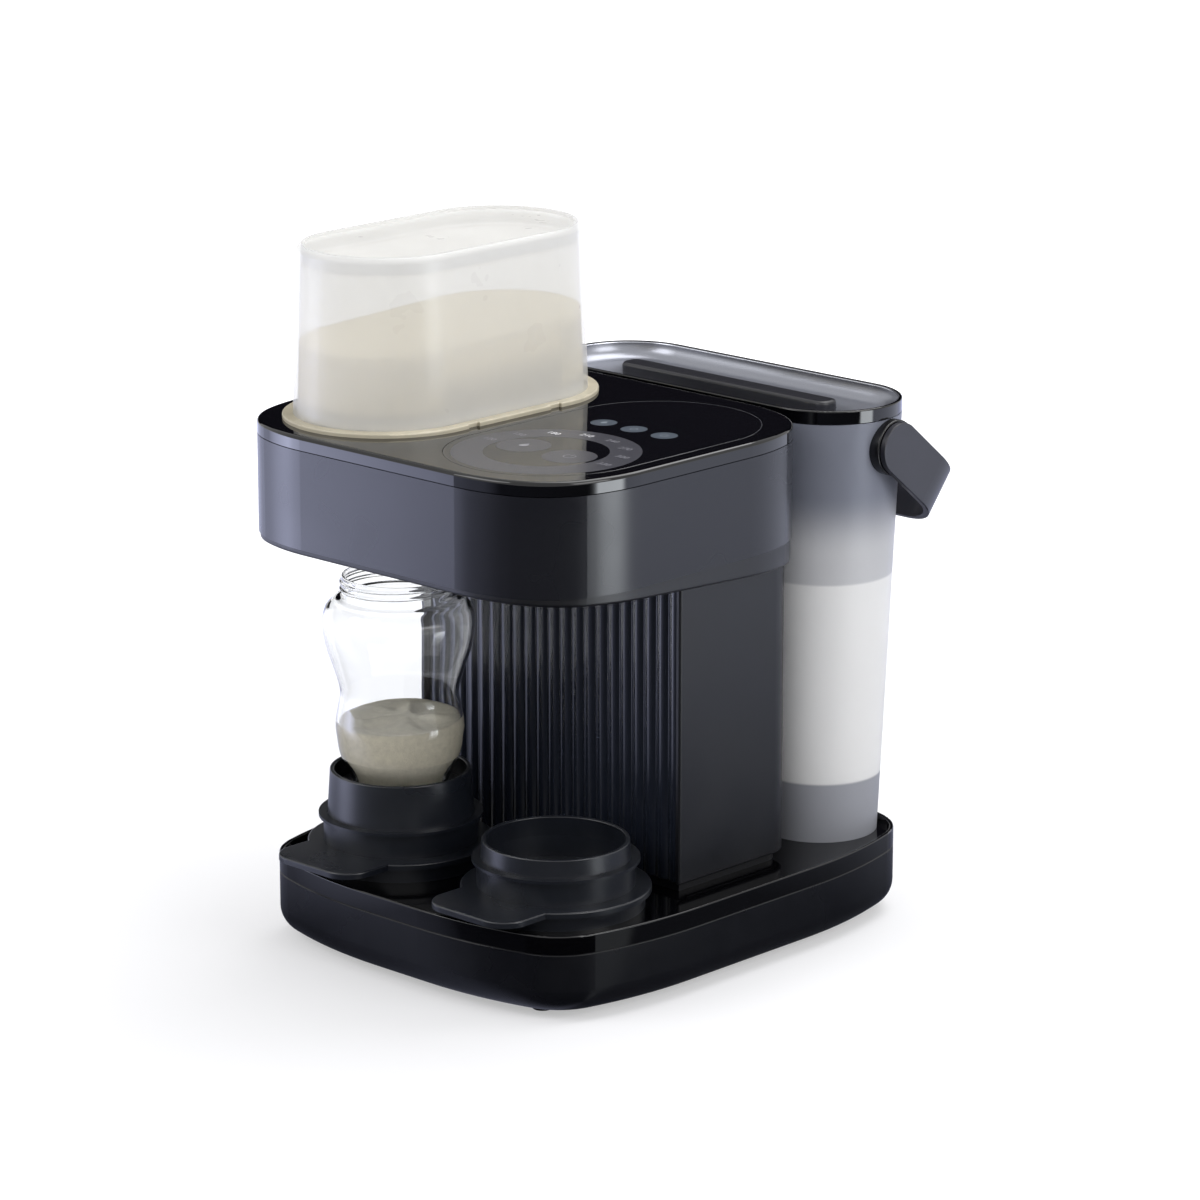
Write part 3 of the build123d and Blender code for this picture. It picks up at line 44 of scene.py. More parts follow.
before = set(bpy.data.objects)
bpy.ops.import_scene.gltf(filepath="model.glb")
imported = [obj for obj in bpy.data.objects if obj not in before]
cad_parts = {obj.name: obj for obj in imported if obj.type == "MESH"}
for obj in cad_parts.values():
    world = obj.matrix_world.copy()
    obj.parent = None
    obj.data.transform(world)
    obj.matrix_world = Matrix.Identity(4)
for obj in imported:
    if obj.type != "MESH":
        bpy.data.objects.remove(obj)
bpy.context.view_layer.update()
MM = 0.001
FULL_TURN = 2 * math.pi
SENSOR = 36.0  # width of the camera's sensor, mm, that the lens is given for

# the dial's marks, in mm to the right of and behind the dial's centre
ZONE_LEFT, ZONE_RIGHT = (-15.6, 1.5), (14.2, 0.2)
KEYS = ((-20.1, 58.6), (-1.2, 58.6), (17.6, 58.6))
VOLUMES = (120, 150, 180, 210, 240, 270, 300, 330)
LIT_VOLUMES = (180, 210)

# the bottle's outline as radius and height over its foot, mm
BOTTLE_FOOT = ((0, 1.4), (14.0, 1.3), (17.6, 0.3), (19.6, 0.0))
BOTTLE_SIDE = (
    (21.0, 0.6), (25.6, 10.5), (28.4, 17.5), (29.7, 25.5), (30.2, 31.5), (29.0, 39.5),
    (27.9, 46.0), (28.6, 51.5), (31.5, 61.0), (34.0, 68.5), (35.6, 76.5), (35.6, 83.5),
    (34.0, 88.6), (31.0, 91.4),
)
BOTTLE_LIP = ((30.5, 92.2), (29.7, 92.5), (28.4, 92.6), (27.2, 92.9))
BOTTLE_RIM = ((26.5, 103.1), (26.25, 103.4), (25.85, 103.5), (25.45, 103.4), (25.15, 103.0))
BOTTLE_FLOOR = ((17.0, 2.7), (0, 3.2))
THREAD_FOOT, THREAD_TURNS, THREAD_HALF = 95.0, 2.3, 0.95  # mm, turns, mm

# azimuth round the head's corner in degrees, share of the bright strip's strength
BOARD_STOPS = (
    (-180, 0.12), (-80, 0.16), (-60, 0.76), (-50.5, 0.5), (-47.5, 0.33), (-45.7, 0.3),
    (-44.8, 0.16), (-43.9, 0.09), (-32, 0.07), (-23.5, 0.065), (-17.5, 0.04), (-12, 0.01),
    (101, 0.006), (104, 1.0), (121.5, 1.0), (124.5, 0.16), (180, 0.15),
)


def linear(code):
    """Linear RGBA of an sRGB hex colour, as Blender's colour sockets take it."""
    shares = [int(code[i:i + 2], 16) / 255 for i in (1, 3, 5)]
    return [s / 12.92 if s <= 0.04045 else ((s + 0.055) / 1.055) ** 2.4 for s in shares] + [1.0]


def middle(node):
    """Centre of a CAD node's box."""
    low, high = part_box(node)
    return (low + high) / 2


# ---- what a user would change -------------------------------------------------------


def size(name, millimetres, text):
    """A length that shows in the panel, given in millimetres."""
    return FloatProperty(name=name, description=text, default=millimetres * MM,
                         subtype="DISTANCE", unit="LENGTH", precision=4)


def colour(name, code, text):
    """A colour that shows in the panel, given as sRGB hex."""
    return FloatVectorProperty(name=name, description=text, default=linear(code), size=4,
                               subtype="COLOR", min=0.0, max=1.0)


class FormulaSizes(bpy.types.PropertyGroup):
    dial_radius: size("Dial", 43.0, "Radius of the printed dial ring")
    dial_inside: size("Dial inside", 28.5, "Radius of the clear middle of the dial")
    dial_forward: size("Dial forward", 1.5, "Distance in front of the glass's arc centre")
    number_circle: size("Number circle", 35.6, "Radius on which the volumes stand")
    number_height: size("Number height", 3.4, "Height of the figures")
    zone_radius: size("Touch zone", 12.5, "Radius of the two touch zones in the dial")
    key_radius: size("Key", 6.2, "Radius of the three small touch keys")
    print_height: size("Print", 0.03, "Height of the printed marks above the glass")
    bottle_neck: size("Bottle neck", 26.6, "Radius of the bottle's neck under its thread")
    bottle_wall: size("Bottle wall", 1.5, "Wall of the bottle")
    thread_rise: size("Thread rise", 1.1, "How far the bottle's thread stands out")
    thread_pitch: size("Thread pitch", 3.3, "Height the bottle's thread climbs in a turn")
    powder_bumps: size("Powder bumps", 1.1, "Unevenness of the powder's surface")
    powder_gap: size("Powder gap", 0.15, "Air between powder or water and the wall round it")
    powder_press: size("Powder press", 0.12, "How far the bottle's powder lies into its wall")


class FormulaColours(bpy.types.PropertyGroup):
    body: colour("Body", "#0e0f14", "Moulded shells of the base and the column")
    band: colour("Band", "#14151b", "Painted band round the head")
    gloss: colour("Gloss", "#050507", "Piano black panels")
    cream: colour("Cream", "#c4bca7", "Hopper base")
    tub: colour("Tub", "#f5f5f4", "Milky hopper and its lid")
    tank: colour("Tank", "#8b8f9d", "Smoked ends of the water tank")
    window: colour("Tank window", "#ffffff", "Clear frosted middle of the water tank")
    powder: colour("Powder", "#f6e8c0", "Milk powder in the hopper")
    # painted shade: the bottle's powder is a darker copy of the powder colour, for the head's shade
    # over it
    portion: colour("Portion", "#cec8b6", "Milk powder in the bottle, in the head's shade")
    dish: colour("Lid dish", "#8f9199", "Satin dish of the tank's lid")
    handle: colour("Handle", "#212129", "Carrying handle")
    ring_print: colour("Ring print", "#3d3d44", "Dial ring and touch zones")
    key_print: colour("Key print", "#4b535d", "Three small touch keys")
    figure_print: colour("Figures", "#83838b", "Unlit figures and symbols")
    figure_lit: colour("Lit figures", "#e6e6ea", "Figures of the chosen volume")


class FormulaStudio(bpy.types.PropertyGroup):
    lens: FloatProperty(name="Lens", description="Focal length on a 36 mm sensor", default=149.9,
                        min=10.0, max=500.0)
    azimuth: FloatProperty(name="Azimuth", description="Camera's turn from the front towards +X",
                           default=math.radians(43.468), subtype="ANGLE", unit="ROTATION")
    elevation: FloatProperty(name="Elevation", description="Camera's height above the horizon",
                             default=math.radians(15.155), subtype="ANGLE", unit="ROTATION")
    camera_place: FloatVectorProperty(name="Camera", description="Place over the base's middle",
                                      default=(1.56343, -1.64163, 0.77189), size=3,
                                      subtype="TRANSLATION", unit="LENGTH")
    key_light: FloatProperty(name="Key light", description="Power of the large front left lamp",
                             default=18.0, min=0.0, subtype="POWER", unit="POWER")
    top_light: FloatProperty(name="Top light", description="Power of the overhead lamp",
                             default=24.0, min=0.0, subtype="POWER", unit="POWER")
    side_light: FloatProperty(name="Side light", description="Power of the lamp on the right",
                              default=15.0, min=0.0, subtype="POWER", unit="POWER")
    fill: FloatProperty(name="Fill", description="Strength of the surrounding light on surfaces",
                        default=0.58, min=0.0, max=1.0)
    floor_glow: FloatProperty(name="Floor glow", description="What tops the lit floor up to white",
                              default=0.42, min=0.0, max=1.0)
    reflector: FloatProperty(name="Reflector", default=8.5, min=0.0,
                             description="Strength of the graded board's bright strip")


# ---- helpers ------------------------------------------------------------------------


def add_node(tree, kind, values=None, links=None, **settings):
    """Adds a shader node: its settings, its sockets' values, and what feeds its sockets."""
    made = tree.nodes.new(kind)
    for name, value in settings.items():
        setattr(made, name, value)
    for socket, value in (values or {}).items():
        made.inputs[socket].default_value = value
    for socket, source in (links or {}).items():
        tree.links.new(source, made.inputs[socket])
    return made


def new_material(name, values):
    """A material with one Principled shader, its sockets set."""
    material = bpy.data.materials.new(name)
    material.use_nodes = True
    tree = material.node_tree
    shader = tree.nodes["Principled BSDF"]
    for socket, value in values.items():
        shader.inputs[socket].default_value = value
    return material, tree, shader


def seen_directly(tree):
    """1 for camera, glossy and transmission rays, which show the white background."""
    path = add_node(tree, "ShaderNodeLightPath").outputs
    seen = add_node(tree, "ShaderNodeMath", links={0: path["Is Camera Ray"],
                                                   1: path["Is Glossy Ray"]}, operation="MAXIMUM")
    return add_node(tree, "ShaderNodeMath", links={0: seen.outputs["Value"],
                                                   1: path["Is Transmission Ray"]},
                    operation="MAXIMUM").outputs["Value"]


def per_metre(millimetres):
    """Scale of a pattern whose features are this far apart, on Object coordinates."""
    return 1.0 / (millimetres * MM)


def finish_nodes(material, *nodes):
    """Gives CAD nodes a material and smooth shading inside each CAD face."""
    for name in nodes:
        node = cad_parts[name]
        node.data.materials.clear()
        node.data.materials.append(material)
        node.data.shade_smooth()


def make_piece(name, bm, material, body, replaces=(), smooth=True):
    """Turns a bmesh into a finished piece that rides on a CAD body."""
    bmesh.ops.recalc_face_normals(bm, faces=bm.faces)
    mesh = bpy.data.meshes.new(name)
    bm.to_mesh(mesh)
    bm.free()
    mesh.materials.append(material)
    if smooth:
        mesh.shade_smooth()
    piece = bpy.data.objects.new(name, mesh)
    bpy.context.scene.collection.objects.link(piece)
    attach(piece, body)
    if replaces:
        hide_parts(*replaces)
    return piece


def merged_copy(node):
    """bmesh of a CAD node with its loose triangles joined."""
    bm = bmesh.new()
    bm.from_mesh(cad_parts[node].data)
    bmesh.ops.remove_doubles(bm, verts=bm.verts, dist=0.002 * MM)
    return bm


def shrunk_copy(node, gap):
    """bmesh of a CAD node drawn in by a gap, or swollen by a negative one."""
    bm = merged_copy(node)
    bm.normal_update()
    for vert in bm.verts:
        vert.co -= vert.normal * gap
    bm.normal_update()
    return bm


def settle(node, gap, bumps):
    """bmesh of a filling, a hair off the size of what holds it, with an uneven top."""
    rings = 14
    bm = shrunk_copy(node, gap)
    lids = [f for f in bm.faces if f.normal.z > 0.9]
    bmesh.ops.delete(bm, geom=lids, context="FACES")
    rim = [e for e in bm.edges if e.is_boundary]
    hub = sum((v.co for e in rim for v in e.verts), Vector()) / (2 * len(rim))
    reach, soft = 1.0, []
    for ring in range(1, rings):
        made = bmesh.ops.extrude_edge_only(bm, edges=rim)["geom"]
        verts = [g for g in made if isinstance(g, bmesh.types.BMVert)]
        rim = [g for g in made if isinstance(g, bmesh.types.BMEdge) and g.is_boundary]
        shrink = (1 - ring / rings) / reach
        reach = 1 - ring / rings
        soft += verts
        for vert in verts:
            vert.co = hub + (vert.co - hub) * shrink
            # level at the wall; then soft heaps 11 mm apart with 3.5 mm lumps on them
            fade = min(1.0, 4 * ring / rings)
            lift = noise.noise(vert.co / (11 * MM)) + 0.4 * noise.noise(vert.co / (3.5 * MM))
            vert.co.z += fade * bumps * lift
    bmesh.ops.contextual_create(bm, geom=rim)
    bmesh.ops.remove_doubles(bm, verts=soft, dist=1.2 * MM)
    return bm


def turned(profile, steps):
    """bmesh of a profile of (radius, height) from axis to axis, turned round the Z axis."""
    bm = bmesh.new()
    line = [bm.verts.new((r, 0, z)) for r, z in profile]
    edges = [bm.edges.new(pair) for pair in zip(line, line[1:])]
    bmesh.ops.spin(bm, geom=line + edges, cent=(0, 0, 0), axis=(0, 0, 1), angle=FULL_TURN,
                   steps=steps, use_merge=True)
    bmesh.ops.remove_doubles(bm, verts=bm.verts, dist=0.001 * MM)
    return bm


# ---- finishes -----------------------------------------------------------------------


def moulded(name, base, roughness, level=0.5, grain=0.8):
    """Injection-moulded plastic: a fine tool texture, and handling that varies its sheen.

    The tool's own grit is about 0.1 mm and too fine to show, so it is drawn at `grain` mm."""
    depth, smudge = 0.004, 0.06  # the grit's depth in mm, and the spread of the sheen
    material, tree, shader = new_material(name, {"Specular IOR Level": level, "IOR": 1.5})
    where = add_node(tree, "ShaderNodeTexCoord").outputs["Object"]
    grit = add_node(tree, "ShaderNodeTexNoise", {"Scale": per_metre(grain), "Detail": 2.0},
                    {"Vector": where})
    bump = add_node(tree, "ShaderNodeBump", {"Strength": 1.0, "Distance": depth * MM},
                    {"Height": grit.outputs["Fac"]})
    tree.links.new(bump.outputs["Normal"], shader.inputs["Normal"])
    touch = add_node(tree, "ShaderNodeTexNoise", {"Scale": per_metre(38.0), "Detail": 3.0},
                     {"Vector": where})
    sheen = add_node(tree, "ShaderNodeMapRange",
                     {"From Min": 0.3, "From Max": 0.7, "To Min": roughness - smudge,
                      "To Max": roughness + smudge}, {"Value": touch.outputs["Fac"]})
    tree.links.new(sheen.outputs["Result"], shader.inputs["Roughness"])
    flow = add_node(tree, "ShaderNodeTexNoise", {"Scale": per_metre(9.0), "Detail": 4.0},
                    {"Vector": where})
    shade = add_node(tree, "ShaderNodeMapRange",
                     {"From Min": 0.25, "From Max": 0.75, "To Min": 0.9, "To Max": 1.1},
                     {"Value": flow.outputs["Fac"]})
    tint = add_node(tree, "ShaderNodeVectorMath", {0: base[:3]},
                    {"Scale": shade.outputs["Result"]}, operation="SCALE")
    tree.links.new(tint.outputs["Vector"], shader.inputs["Base Color"])
    return material


def piano_black(name, base, roughness=0.035):
    """High-gloss black PMMA-capped ABS: mirror-like, with hairline wiping marks."""
    material, tree, shader = new_material(name, {"IOR": 1.49, "Base Color": base})
    where = add_node(tree, "ShaderNodeTexCoord").outputs["Object"]
    stretch = add_node(tree, "ShaderNodeMapping", {"Scale": (1.0, 14.0, 1.0),
                                                   "Rotation": (0, 0, math.radians(24))},
                       {"Vector": where})
    wipes = add_node(tree, "ShaderNodeTexNoise", {"Scale": per_metre(6.0), "Detail": 6.0},
                     {"Vector": stretch.outputs["Vector"]})
    sheen = add_node(tree, "ShaderNodeMapRange",
                     {"From Min": 0.45, "From Max": 0.8, "To Min": roughness,
                      "To Max": roughness + 0.08}, {"Value": wipes.outputs["Fac"]})
    tree.links.new(sheen.outputs["Result"], shader.inputs["Roughness"])
    return material


def satin_paint(name, base, metallic, roughness):
    """Satin two-part paint over ABS, with aluminium flakes in it."""
    material, tree, shader = new_material(name, {"Metallic": metallic,
                                                 "Specular IOR Level": 0.4})
    where = add_node(tree, "ShaderNodeTexCoord").outputs["Object"]
    # real flakes are 0.03 mm, so they are drawn at half a millimetre to show
    flakes = add_node(tree, "ShaderNodeTexVoronoi", {"Scale": per_metre(0.5)},
                      {"Vector": where})
    spark = add_node(tree, "ShaderNodeMapRange",
                     {"From Min": 0.0, "From Max": 1.0, "To Min": 0.93, "To Max": 1.07},
                     {"Value": flakes.outputs["Distance"]})
    tint = add_node(tree, "ShaderNodeVectorMath", {0: base[:3]},
                    {"Scale": spark.outputs["Result"]}, operation="SCALE")
    tree.links.new(tint.outputs["Vector"], shader.inputs["Base Color"])
    drift = add_node(tree, "ShaderNodeTexNoise", {"Scale": per_metre(45.0), "Detail": 2.0},
                     {"Vector": where})
    sheen = add_node(tree, "ShaderNodeMapRange",
                     {"From Min": 0.3, "From Max": 0.7, "To Min": roughness - 0.03,
                      "To Max": roughness + 0.03}, {"Value": drift.outputs["Fac"]})
    tree.links.new(sheen.outputs["Result"], shader.inputs["Roughness"])
    return material


def milky(name, base, sheer, roughness):
    """Natural polypropylene, injection moulded: milky, with what touches it showing through.

    A wall has two faces, so `sheer` is what each of them lets through."""
    material, tree, shader = new_material(name, {"Alpha": 1 - sheer, "IOR": 1.49})
    where = add_node(tree, "ShaderNodeTexCoord").outputs["Object"]
    cloud = add_node(tree, "ShaderNodeTexNoise", {"Scale": per_metre(24.0), "Detail": 3.0},
                     {"Vector": where})
    shade = add_node(tree, "ShaderNodeMapRange",
                     {"From Min": 0.3, "From Max": 0.7, "To Min": 0.97, "To Max": 1.0},
                     {"Value": cloud.outputs["Fac"]})
    tint = add_node(tree, "ShaderNodeVectorMath", {0: base[:3]},
                    {"Scale": shade.outputs["Result"]}, operation="SCALE")
    tree.links.new(tint.outputs["Vector"], shader.inputs["Base Color"])
    sheen = add_node(tree, "ShaderNodeMapRange",
                     {"From Min": 0.3, "From Max": 0.7, "To Min": roughness - 0.03,
                      "To Max": roughness + 0.03}, {"Value": cloud.outputs["Fac"]})
    tree.links.new(sheen.outputs["Result"], shader.inputs["Roughness"])
    return material


def smoked_tank(name, end_tone, window, low, high):
    """Frosted SAN tank: white where the water stands, darker above and below it."""
    material, tree, shader = new_material(name, {"Transmission Weight": 0.3, "IOR": 1.3})
    where = add_node(tree, "ShaderNodeTexCoord").outputs["Object"]
    height = add_node(tree, "ShaderNodeSeparateXYZ", links={"Vector": where}).outputs["Z"]
    blur = 0.8 * MM
    above = add_node(tree, "ShaderNodeMapRange", {
        "From Min": high - blur, "From Max": high + blur, "To Max": 0.4}, {"Value": height},
                     interpolation_type="SMOOTHSTEP")
    # darker still from 14 to 44 mm above the water's top
    darker_higher = add_node(tree, "ShaderNodeMapRange", {
        "From Min": high + 14 * MM, "From Max": high + 44 * MM, "To Max": 0.6}, {"Value": height},
                      interpolation_type="SMOOTHSTEP")
    above = add_node(tree, "ShaderNodeMath", links={0: above.outputs["Result"],
                                                    1: darker_higher.outputs["Result"]},
                     operation="ADD")
    below = add_node(tree, "ShaderNodeMapRange", {
        "From Min": low + blur, "From Max": low - blur, "To Max": 0.75}, {"Value": height},
                     interpolation_type="SMOOTHSTEP")
    share = add_node(tree, "ShaderNodeMath", links={0: above.outputs["Value"],
                                                    1: below.outputs["Result"]},
                     operation="ADD", use_clamp=True)
    tint = add_node(tree, "ShaderNodeMix", {"A": window, "B": end_tone},
                    {"Factor": share.outputs["Value"]}, data_type="RGBA")
    tree.links.new(tint.outputs["Result"], shader.inputs["Base Color"])
    frost = add_node(tree, "ShaderNodeTexNoise", {"Scale": per_metre(1.2), "Detail": 2.0},
                     {"Vector": where})
    sheen = add_node(tree, "ShaderNodeMapRange",
                     {"From Min": 0.3, "From Max": 0.7, "To Min": 0.34, "To Max": 0.42},
                     {"Value": frost.outputs["Fac"]})
    tree.links.new(sheen.outputs["Result"], shader.inputs["Roughness"])
    return material


def clear_plastic(name, base):
    """Clear co-polyester, injection stretch blown: glassy, with faint flow ripples."""
    material, tree, shader = new_material(name, {"Base Color": base, "Roughness": 0.02,
                                                 "Transmission Weight": 1.0, "IOR": 1.45})
    where = add_node(tree, "ShaderNodeTexCoord").outputs["Object"]
    ripple = add_node(tree, "ShaderNodeTexNoise", {"Scale": per_metre(16.0), "Detail": 1.0},
                      {"Vector": where})
    bump = add_node(tree, "ShaderNodeBump", {"Strength": 0.5, "Distance": 0.05 * MM},
                    {"Height": ripple.outputs["Fac"]})
    tree.links.new(bump.outputs["Normal"], shader.inputs["Normal"])
    return material


def water_body(name):
    """Still drinking water, seen through a frosted wall."""
    material, tree, shader = new_material(name, {"Transmission Weight": 0.75, "IOR": 1.33,
                                                 "Roughness": 0.05})
    where = add_node(tree, "ShaderNodeTexCoord").outputs["Object"]
    depth = add_node(tree, "ShaderNodeTexNoise", {"Scale": per_metre(60.0)}, {"Vector": where})
    tint = add_node(tree, "ShaderNodeMix", {"A": linear("#f2f4f8"), "B": linear("#fafbfc")},
                    {"Factor": depth.outputs["Fac"]}, data_type="RGBA")
    tree.links.new(tint.outputs["Result"], shader.inputs["Base Color"])
    return material


def powder_grain(name, base):
    """Spray-dried milk powder: matt clumped grains of about 0.3 mm, drawn at 0.6 mm."""
    material, tree, shader = new_material(name, {"Roughness": 0.95, "Specular IOR Level": 0.15})
    where = add_node(tree, "ShaderNodeTexCoord").outputs["Object"]
    grain = add_node(tree, "ShaderNodeTexNoise", {"Scale": per_metre(0.6), "Detail": 3.0},
                     {"Vector": where})
    clump = add_node(tree, "ShaderNodeTexNoise", {
        "Scale": per_metre(3.0), "Detail": 5.0, "Roughness": 0.7}, {"Vector": where})
    shade = add_node(tree, "ShaderNodeMapRange",
                     {"From Min": 0.3, "From Max": 0.7, "To Min": 0.86, "To Max": 1.06},
                     {"Value": clump.outputs["Fac"]})
    tint = add_node(tree, "ShaderNodeVectorMath", {0: base[:3]},
                    {"Scale": shade.outputs["Result"]}, operation="SCALE")
    tree.links.new(tint.outputs["Vector"], shader.inputs["Base Color"])
    bump = add_node(tree, "ShaderNodeBump", {"Strength": 0.8, "Distance": 0.25 * MM},
                    {"Height": grain.outputs["Fac"]})
    tree.links.new(bump.outputs["Normal"], shader.inputs["Normal"])
    return material


def screen_print(name, base, roughness=0.32):
    """Matt screen-printing ink fired on the glass, with the mesh's faint texture."""
    material, tree, shader = new_material(name, {"IOR": 1.5})
    where = add_node(tree, "ShaderNodeTexCoord").outputs["Object"]
    mesh = add_node(tree, "ShaderNodeTexNoise", {"Scale": per_metre(0.5), "Detail": 1.0},
                    {"Vector": where})
    sheen = add_node(tree, "ShaderNodeMapRange",
                     {"From Min": 0.3, "From Max": 0.7, "To Min": roughness - 0.04,
                      "To Max": roughness + 0.04}, {"Value": mesh.outputs["Fac"]})
    tree.links.new(sheen.outputs["Result"], shader.inputs["Roughness"])
    shade = add_node(tree, "ShaderNodeMapRange",
                     {"From Min": 0.3, "From Max": 0.7, "To Min": 0.95, "To Max": 1.05},
                     {"Value": mesh.outputs["Fac"]})
    tint = add_node(tree, "ShaderNodeVectorMath", {0: base[:3]},
                    {"Scale": shade.outputs["Result"]}, operation="SCALE")
    tree.links.new(tint.outputs["Vector"], shader.inputs["Base Color"])
    return material


def metal(name, base, roughness):
    """Plain metal stock, drawn or turned: fine lines along its length."""
    material, tree, shader = new_material(name, {"Metallic": 1.0, "Base Color": base})
    where = add_node(tree, "ShaderNodeTexCoord").outputs["Object"]
    lines = add_node(tree, "ShaderNodeTexNoise", {"Scale": per_metre(0.8), "Detail": 2.0},
                     {"Vector": where})
    sheen = add_node(tree, "ShaderNodeMapRange",
                     {"From Min": 0.3, "From Max": 0.7, "To Min": roughness - 0.06,
                      "To Max": roughness + 0.06}, {"Value": lines.outputs["Fac"]})
    tree.links.new(sheen.outputs["Result"], shader.inputs["Roughness"])
    return material


# ---- operators ----------------------------------------------------------------------


class FORMULA_OT_studio(bpy.types.Operator):
    """Camera, floor, cards and lamps"""
    bl_idname = "formula.studio"
    bl_label = "Studio"

    def execute(self, context):
        studio = context.scene.formula_studio
        self.add_camera(context, studio)
        self.add_floor(studio)
        self.add_reflector(studio)
        self.add_flag(studio)
        self.add_lamps(context, studio)
        self.light_world(context, studio)
        return {"FINISHED"}

    def add_camera(self, context, studio):
        a, e = studio.azimuth, studio.elevation
        back = Vector((math.sin(a) * math.cos(e), -math.cos(a) * math.cos(e), math.sin(e)))
        right = Vector((math.cos(a), math.sin(a), 0))
        up = back.cross(right)
        data = bpy.data.cameras.new("camera")
        data.lens = studio.lens
        data.sensor_width = SENSOR
        data.clip_end = 50.0
        camera = bpy.data.objects.new("camera", data)
        place = Vector(studio.camera_place)
        place.y += middle("base_pan").y
        camera.matrix_world = Matrix.Translation(place) @ Matrix(
            (right, up, back)).transposed().to_4x4()
        context.scene.collection.objects.link(camera)
        context.scene.camera = camera
        context.scene.view_settings.view_transform = "Standard"

    def place_card(self, name, bm, material, seen=True):
        """A piece of the studio; one that isn't seen shows only in reflections."""
        mesh = bpy.data.meshes.new(name)
        bm.to_mesh(mesh)
        bm.free()
        mesh.materials.append(material)
        card = bpy.data.objects.new(name, mesh)
        for ray in ("camera", "diffuse", "transmission", "shadow"):
            setattr(card, "visible_" + ray, seen)
        bpy.context.scene.collection.objects.link(card)

    def polar(self, tree, centre):
        """Azimuth from the front towards +X, and distance, round a vertical line."""
        where = add_node(tree, "ShaderNodeTexCoord").outputs["Object"]
        flat = add_node(tree, "ShaderNodeVectorMath", {1: (-centre[0], -centre[1], 0)}, {0: where},
                        operation="ADD").outputs["Vector"]
        far = add_node(tree, "ShaderNodeVectorMath", links={0: flat}, operation="LENGTH")
        parts = add_node(tree, "ShaderNodeSeparateXYZ", links={"Vector": flat})
        front = add_node(tree, "ShaderNodeMath", {1: -1.0}, {0: parts.outputs["Y"]},
                         operation="MULTIPLY")
        turn = add_node(tree, "ShaderNodeMath", links={0: parts.outputs["X"],
                                                       1: front.outputs["Value"]},
                        operation="ARCTAN2")
        return turn.outputs["Value"], far.outputs["Value"]

    def add_floor(self, studio):
        bm = bmesh.new()
        bmesh.ops.create_circle(bm, cap_ends=True, segments=96, radius=9.0)
        bmesh.ops.translate(bm, verts=bm.verts, vec=(0, 0, -0.1 * MM))
        # white painted sweep: lit by the lamps, so it keeps the shadow, and topped up to
        # white, fully so from 1.3 m out, where no shadow falls
        material, tree, shader = new_material("white_sweep", {
            "Base Color": linear("#c6c6c9"), "Roughness": 0.9, "Specular IOR Level": 0.0})
        far = self.polar(tree, (0, 0))[1]
        lift = add_node(tree, "ShaderNodeMapRange", {
            "From Min": 0.45, "From Max": 1.3, "To Min": studio.floor_glow, "To Max": 1.0},
                        {"Value": far})
        lift = add_node(tree, "ShaderNodeMath", links={
            0: lift.outputs["Result"], 1: seen_directly(tree)}, operation="MULTIPLY")
        glow = add_node(tree, "ShaderNodeEmission", links={"Strength": lift.outputs["Value"]})
        total = add_node(tree, "ShaderNodeAddShader", links={
            0: shader.outputs["BSDF"], 1: glow.outputs["Emission"]})
        tree.links.new(total.outputs["Shader"], tree.nodes["Material Output"].inputs["Surface"])
        self.place_card("floor", bm, material)

    def add_reflector(self, studio):
        """Board graded by direction round the head's corner, and darker near the object."""
        corner = (0.1, -0.11)
        bm = bmesh.new()
        bmesh.ops.create_circle(bm, cap_ends=True, segments=96, radius=2.6)
        bmesh.ops.translate(bm, verts=bm.verts, vec=(*corner, 1 * MM))
        material, tree, _ = new_material("graded_board", {})
        turn, far = self.polar(tree, corner)
        share = add_node(tree, "ShaderNodeMapRange", {"From Min": -math.pi, "From Max": math.pi},
                         {"Value": turn})
        ramp = add_node(tree, "ShaderNodeValToRGB", links={"Fac": share.outputs["Result"]})
        line = ramp.color_ramp.elements
        while len(line) < len(BOARD_STOPS):
            line.new(0.5)
        for stop, (azimuth, level) in zip(line, BOARD_STOPS):
            stop.position = (azimuth + 180) / 360
            # bluish on the left, nearly neutral in the strip, a little blue beyond it
            blue = 1.35 if azimuth < 0 else 1.05 if azimuth < 122 else 1.2
            stop.color = (level * 0.95, level, level * blue, 1.0)
        fade = add_node(tree, "ShaderNodeMapRange", {
            "From Min": 0.2, "From Max": 0.85, "To Min": 0.05 * studio.reflector,
            "To Max": studio.reflector}, {"Value": far})
        glow = add_node(tree, "ShaderNodeEmission", links={
            "Color": ramp.outputs["Color"], "Strength": fade.outputs["Result"]})
        tree.links.new(glow.outputs["Emission"], tree.nodes["Material Output"].inputs["Surface"])
        self.place_card("graded_reflector", bm, material, seen=False)

    def add_flag(self, studio):
        """Black cloth behind the object, which level gloss mirrors to the camera."""
        a = studio.azimuth
        bm = bmesh.new()
        bmesh.ops.create_grid(bm, x_segments=1, y_segments=1, size=0.5)
        bmesh.ops.transform(bm, verts=bm.verts, matrix=(
            Matrix.Translation((-1.5 * math.sin(a), 1.5 * math.cos(a), 0.85))
            @ Matrix.Rotation(a, 4, "Z") @ Matrix.Rotation(math.pi / 2, 4, "X")
            @ Matrix.Diagonal((2.6, 1.1, 1, 1))))
        material, tree, _ = new_material("black_cloth", {})
        glow = add_node(tree, "ShaderNodeEmission", {"Color": linear("#1c1b22"), "Strength": 1.0})
        tree.links.new(glow.outputs["Emission"], tree.nodes["Material Output"].inputs["Surface"])
        self.place_card("black_flag", bm, material, seen=False)

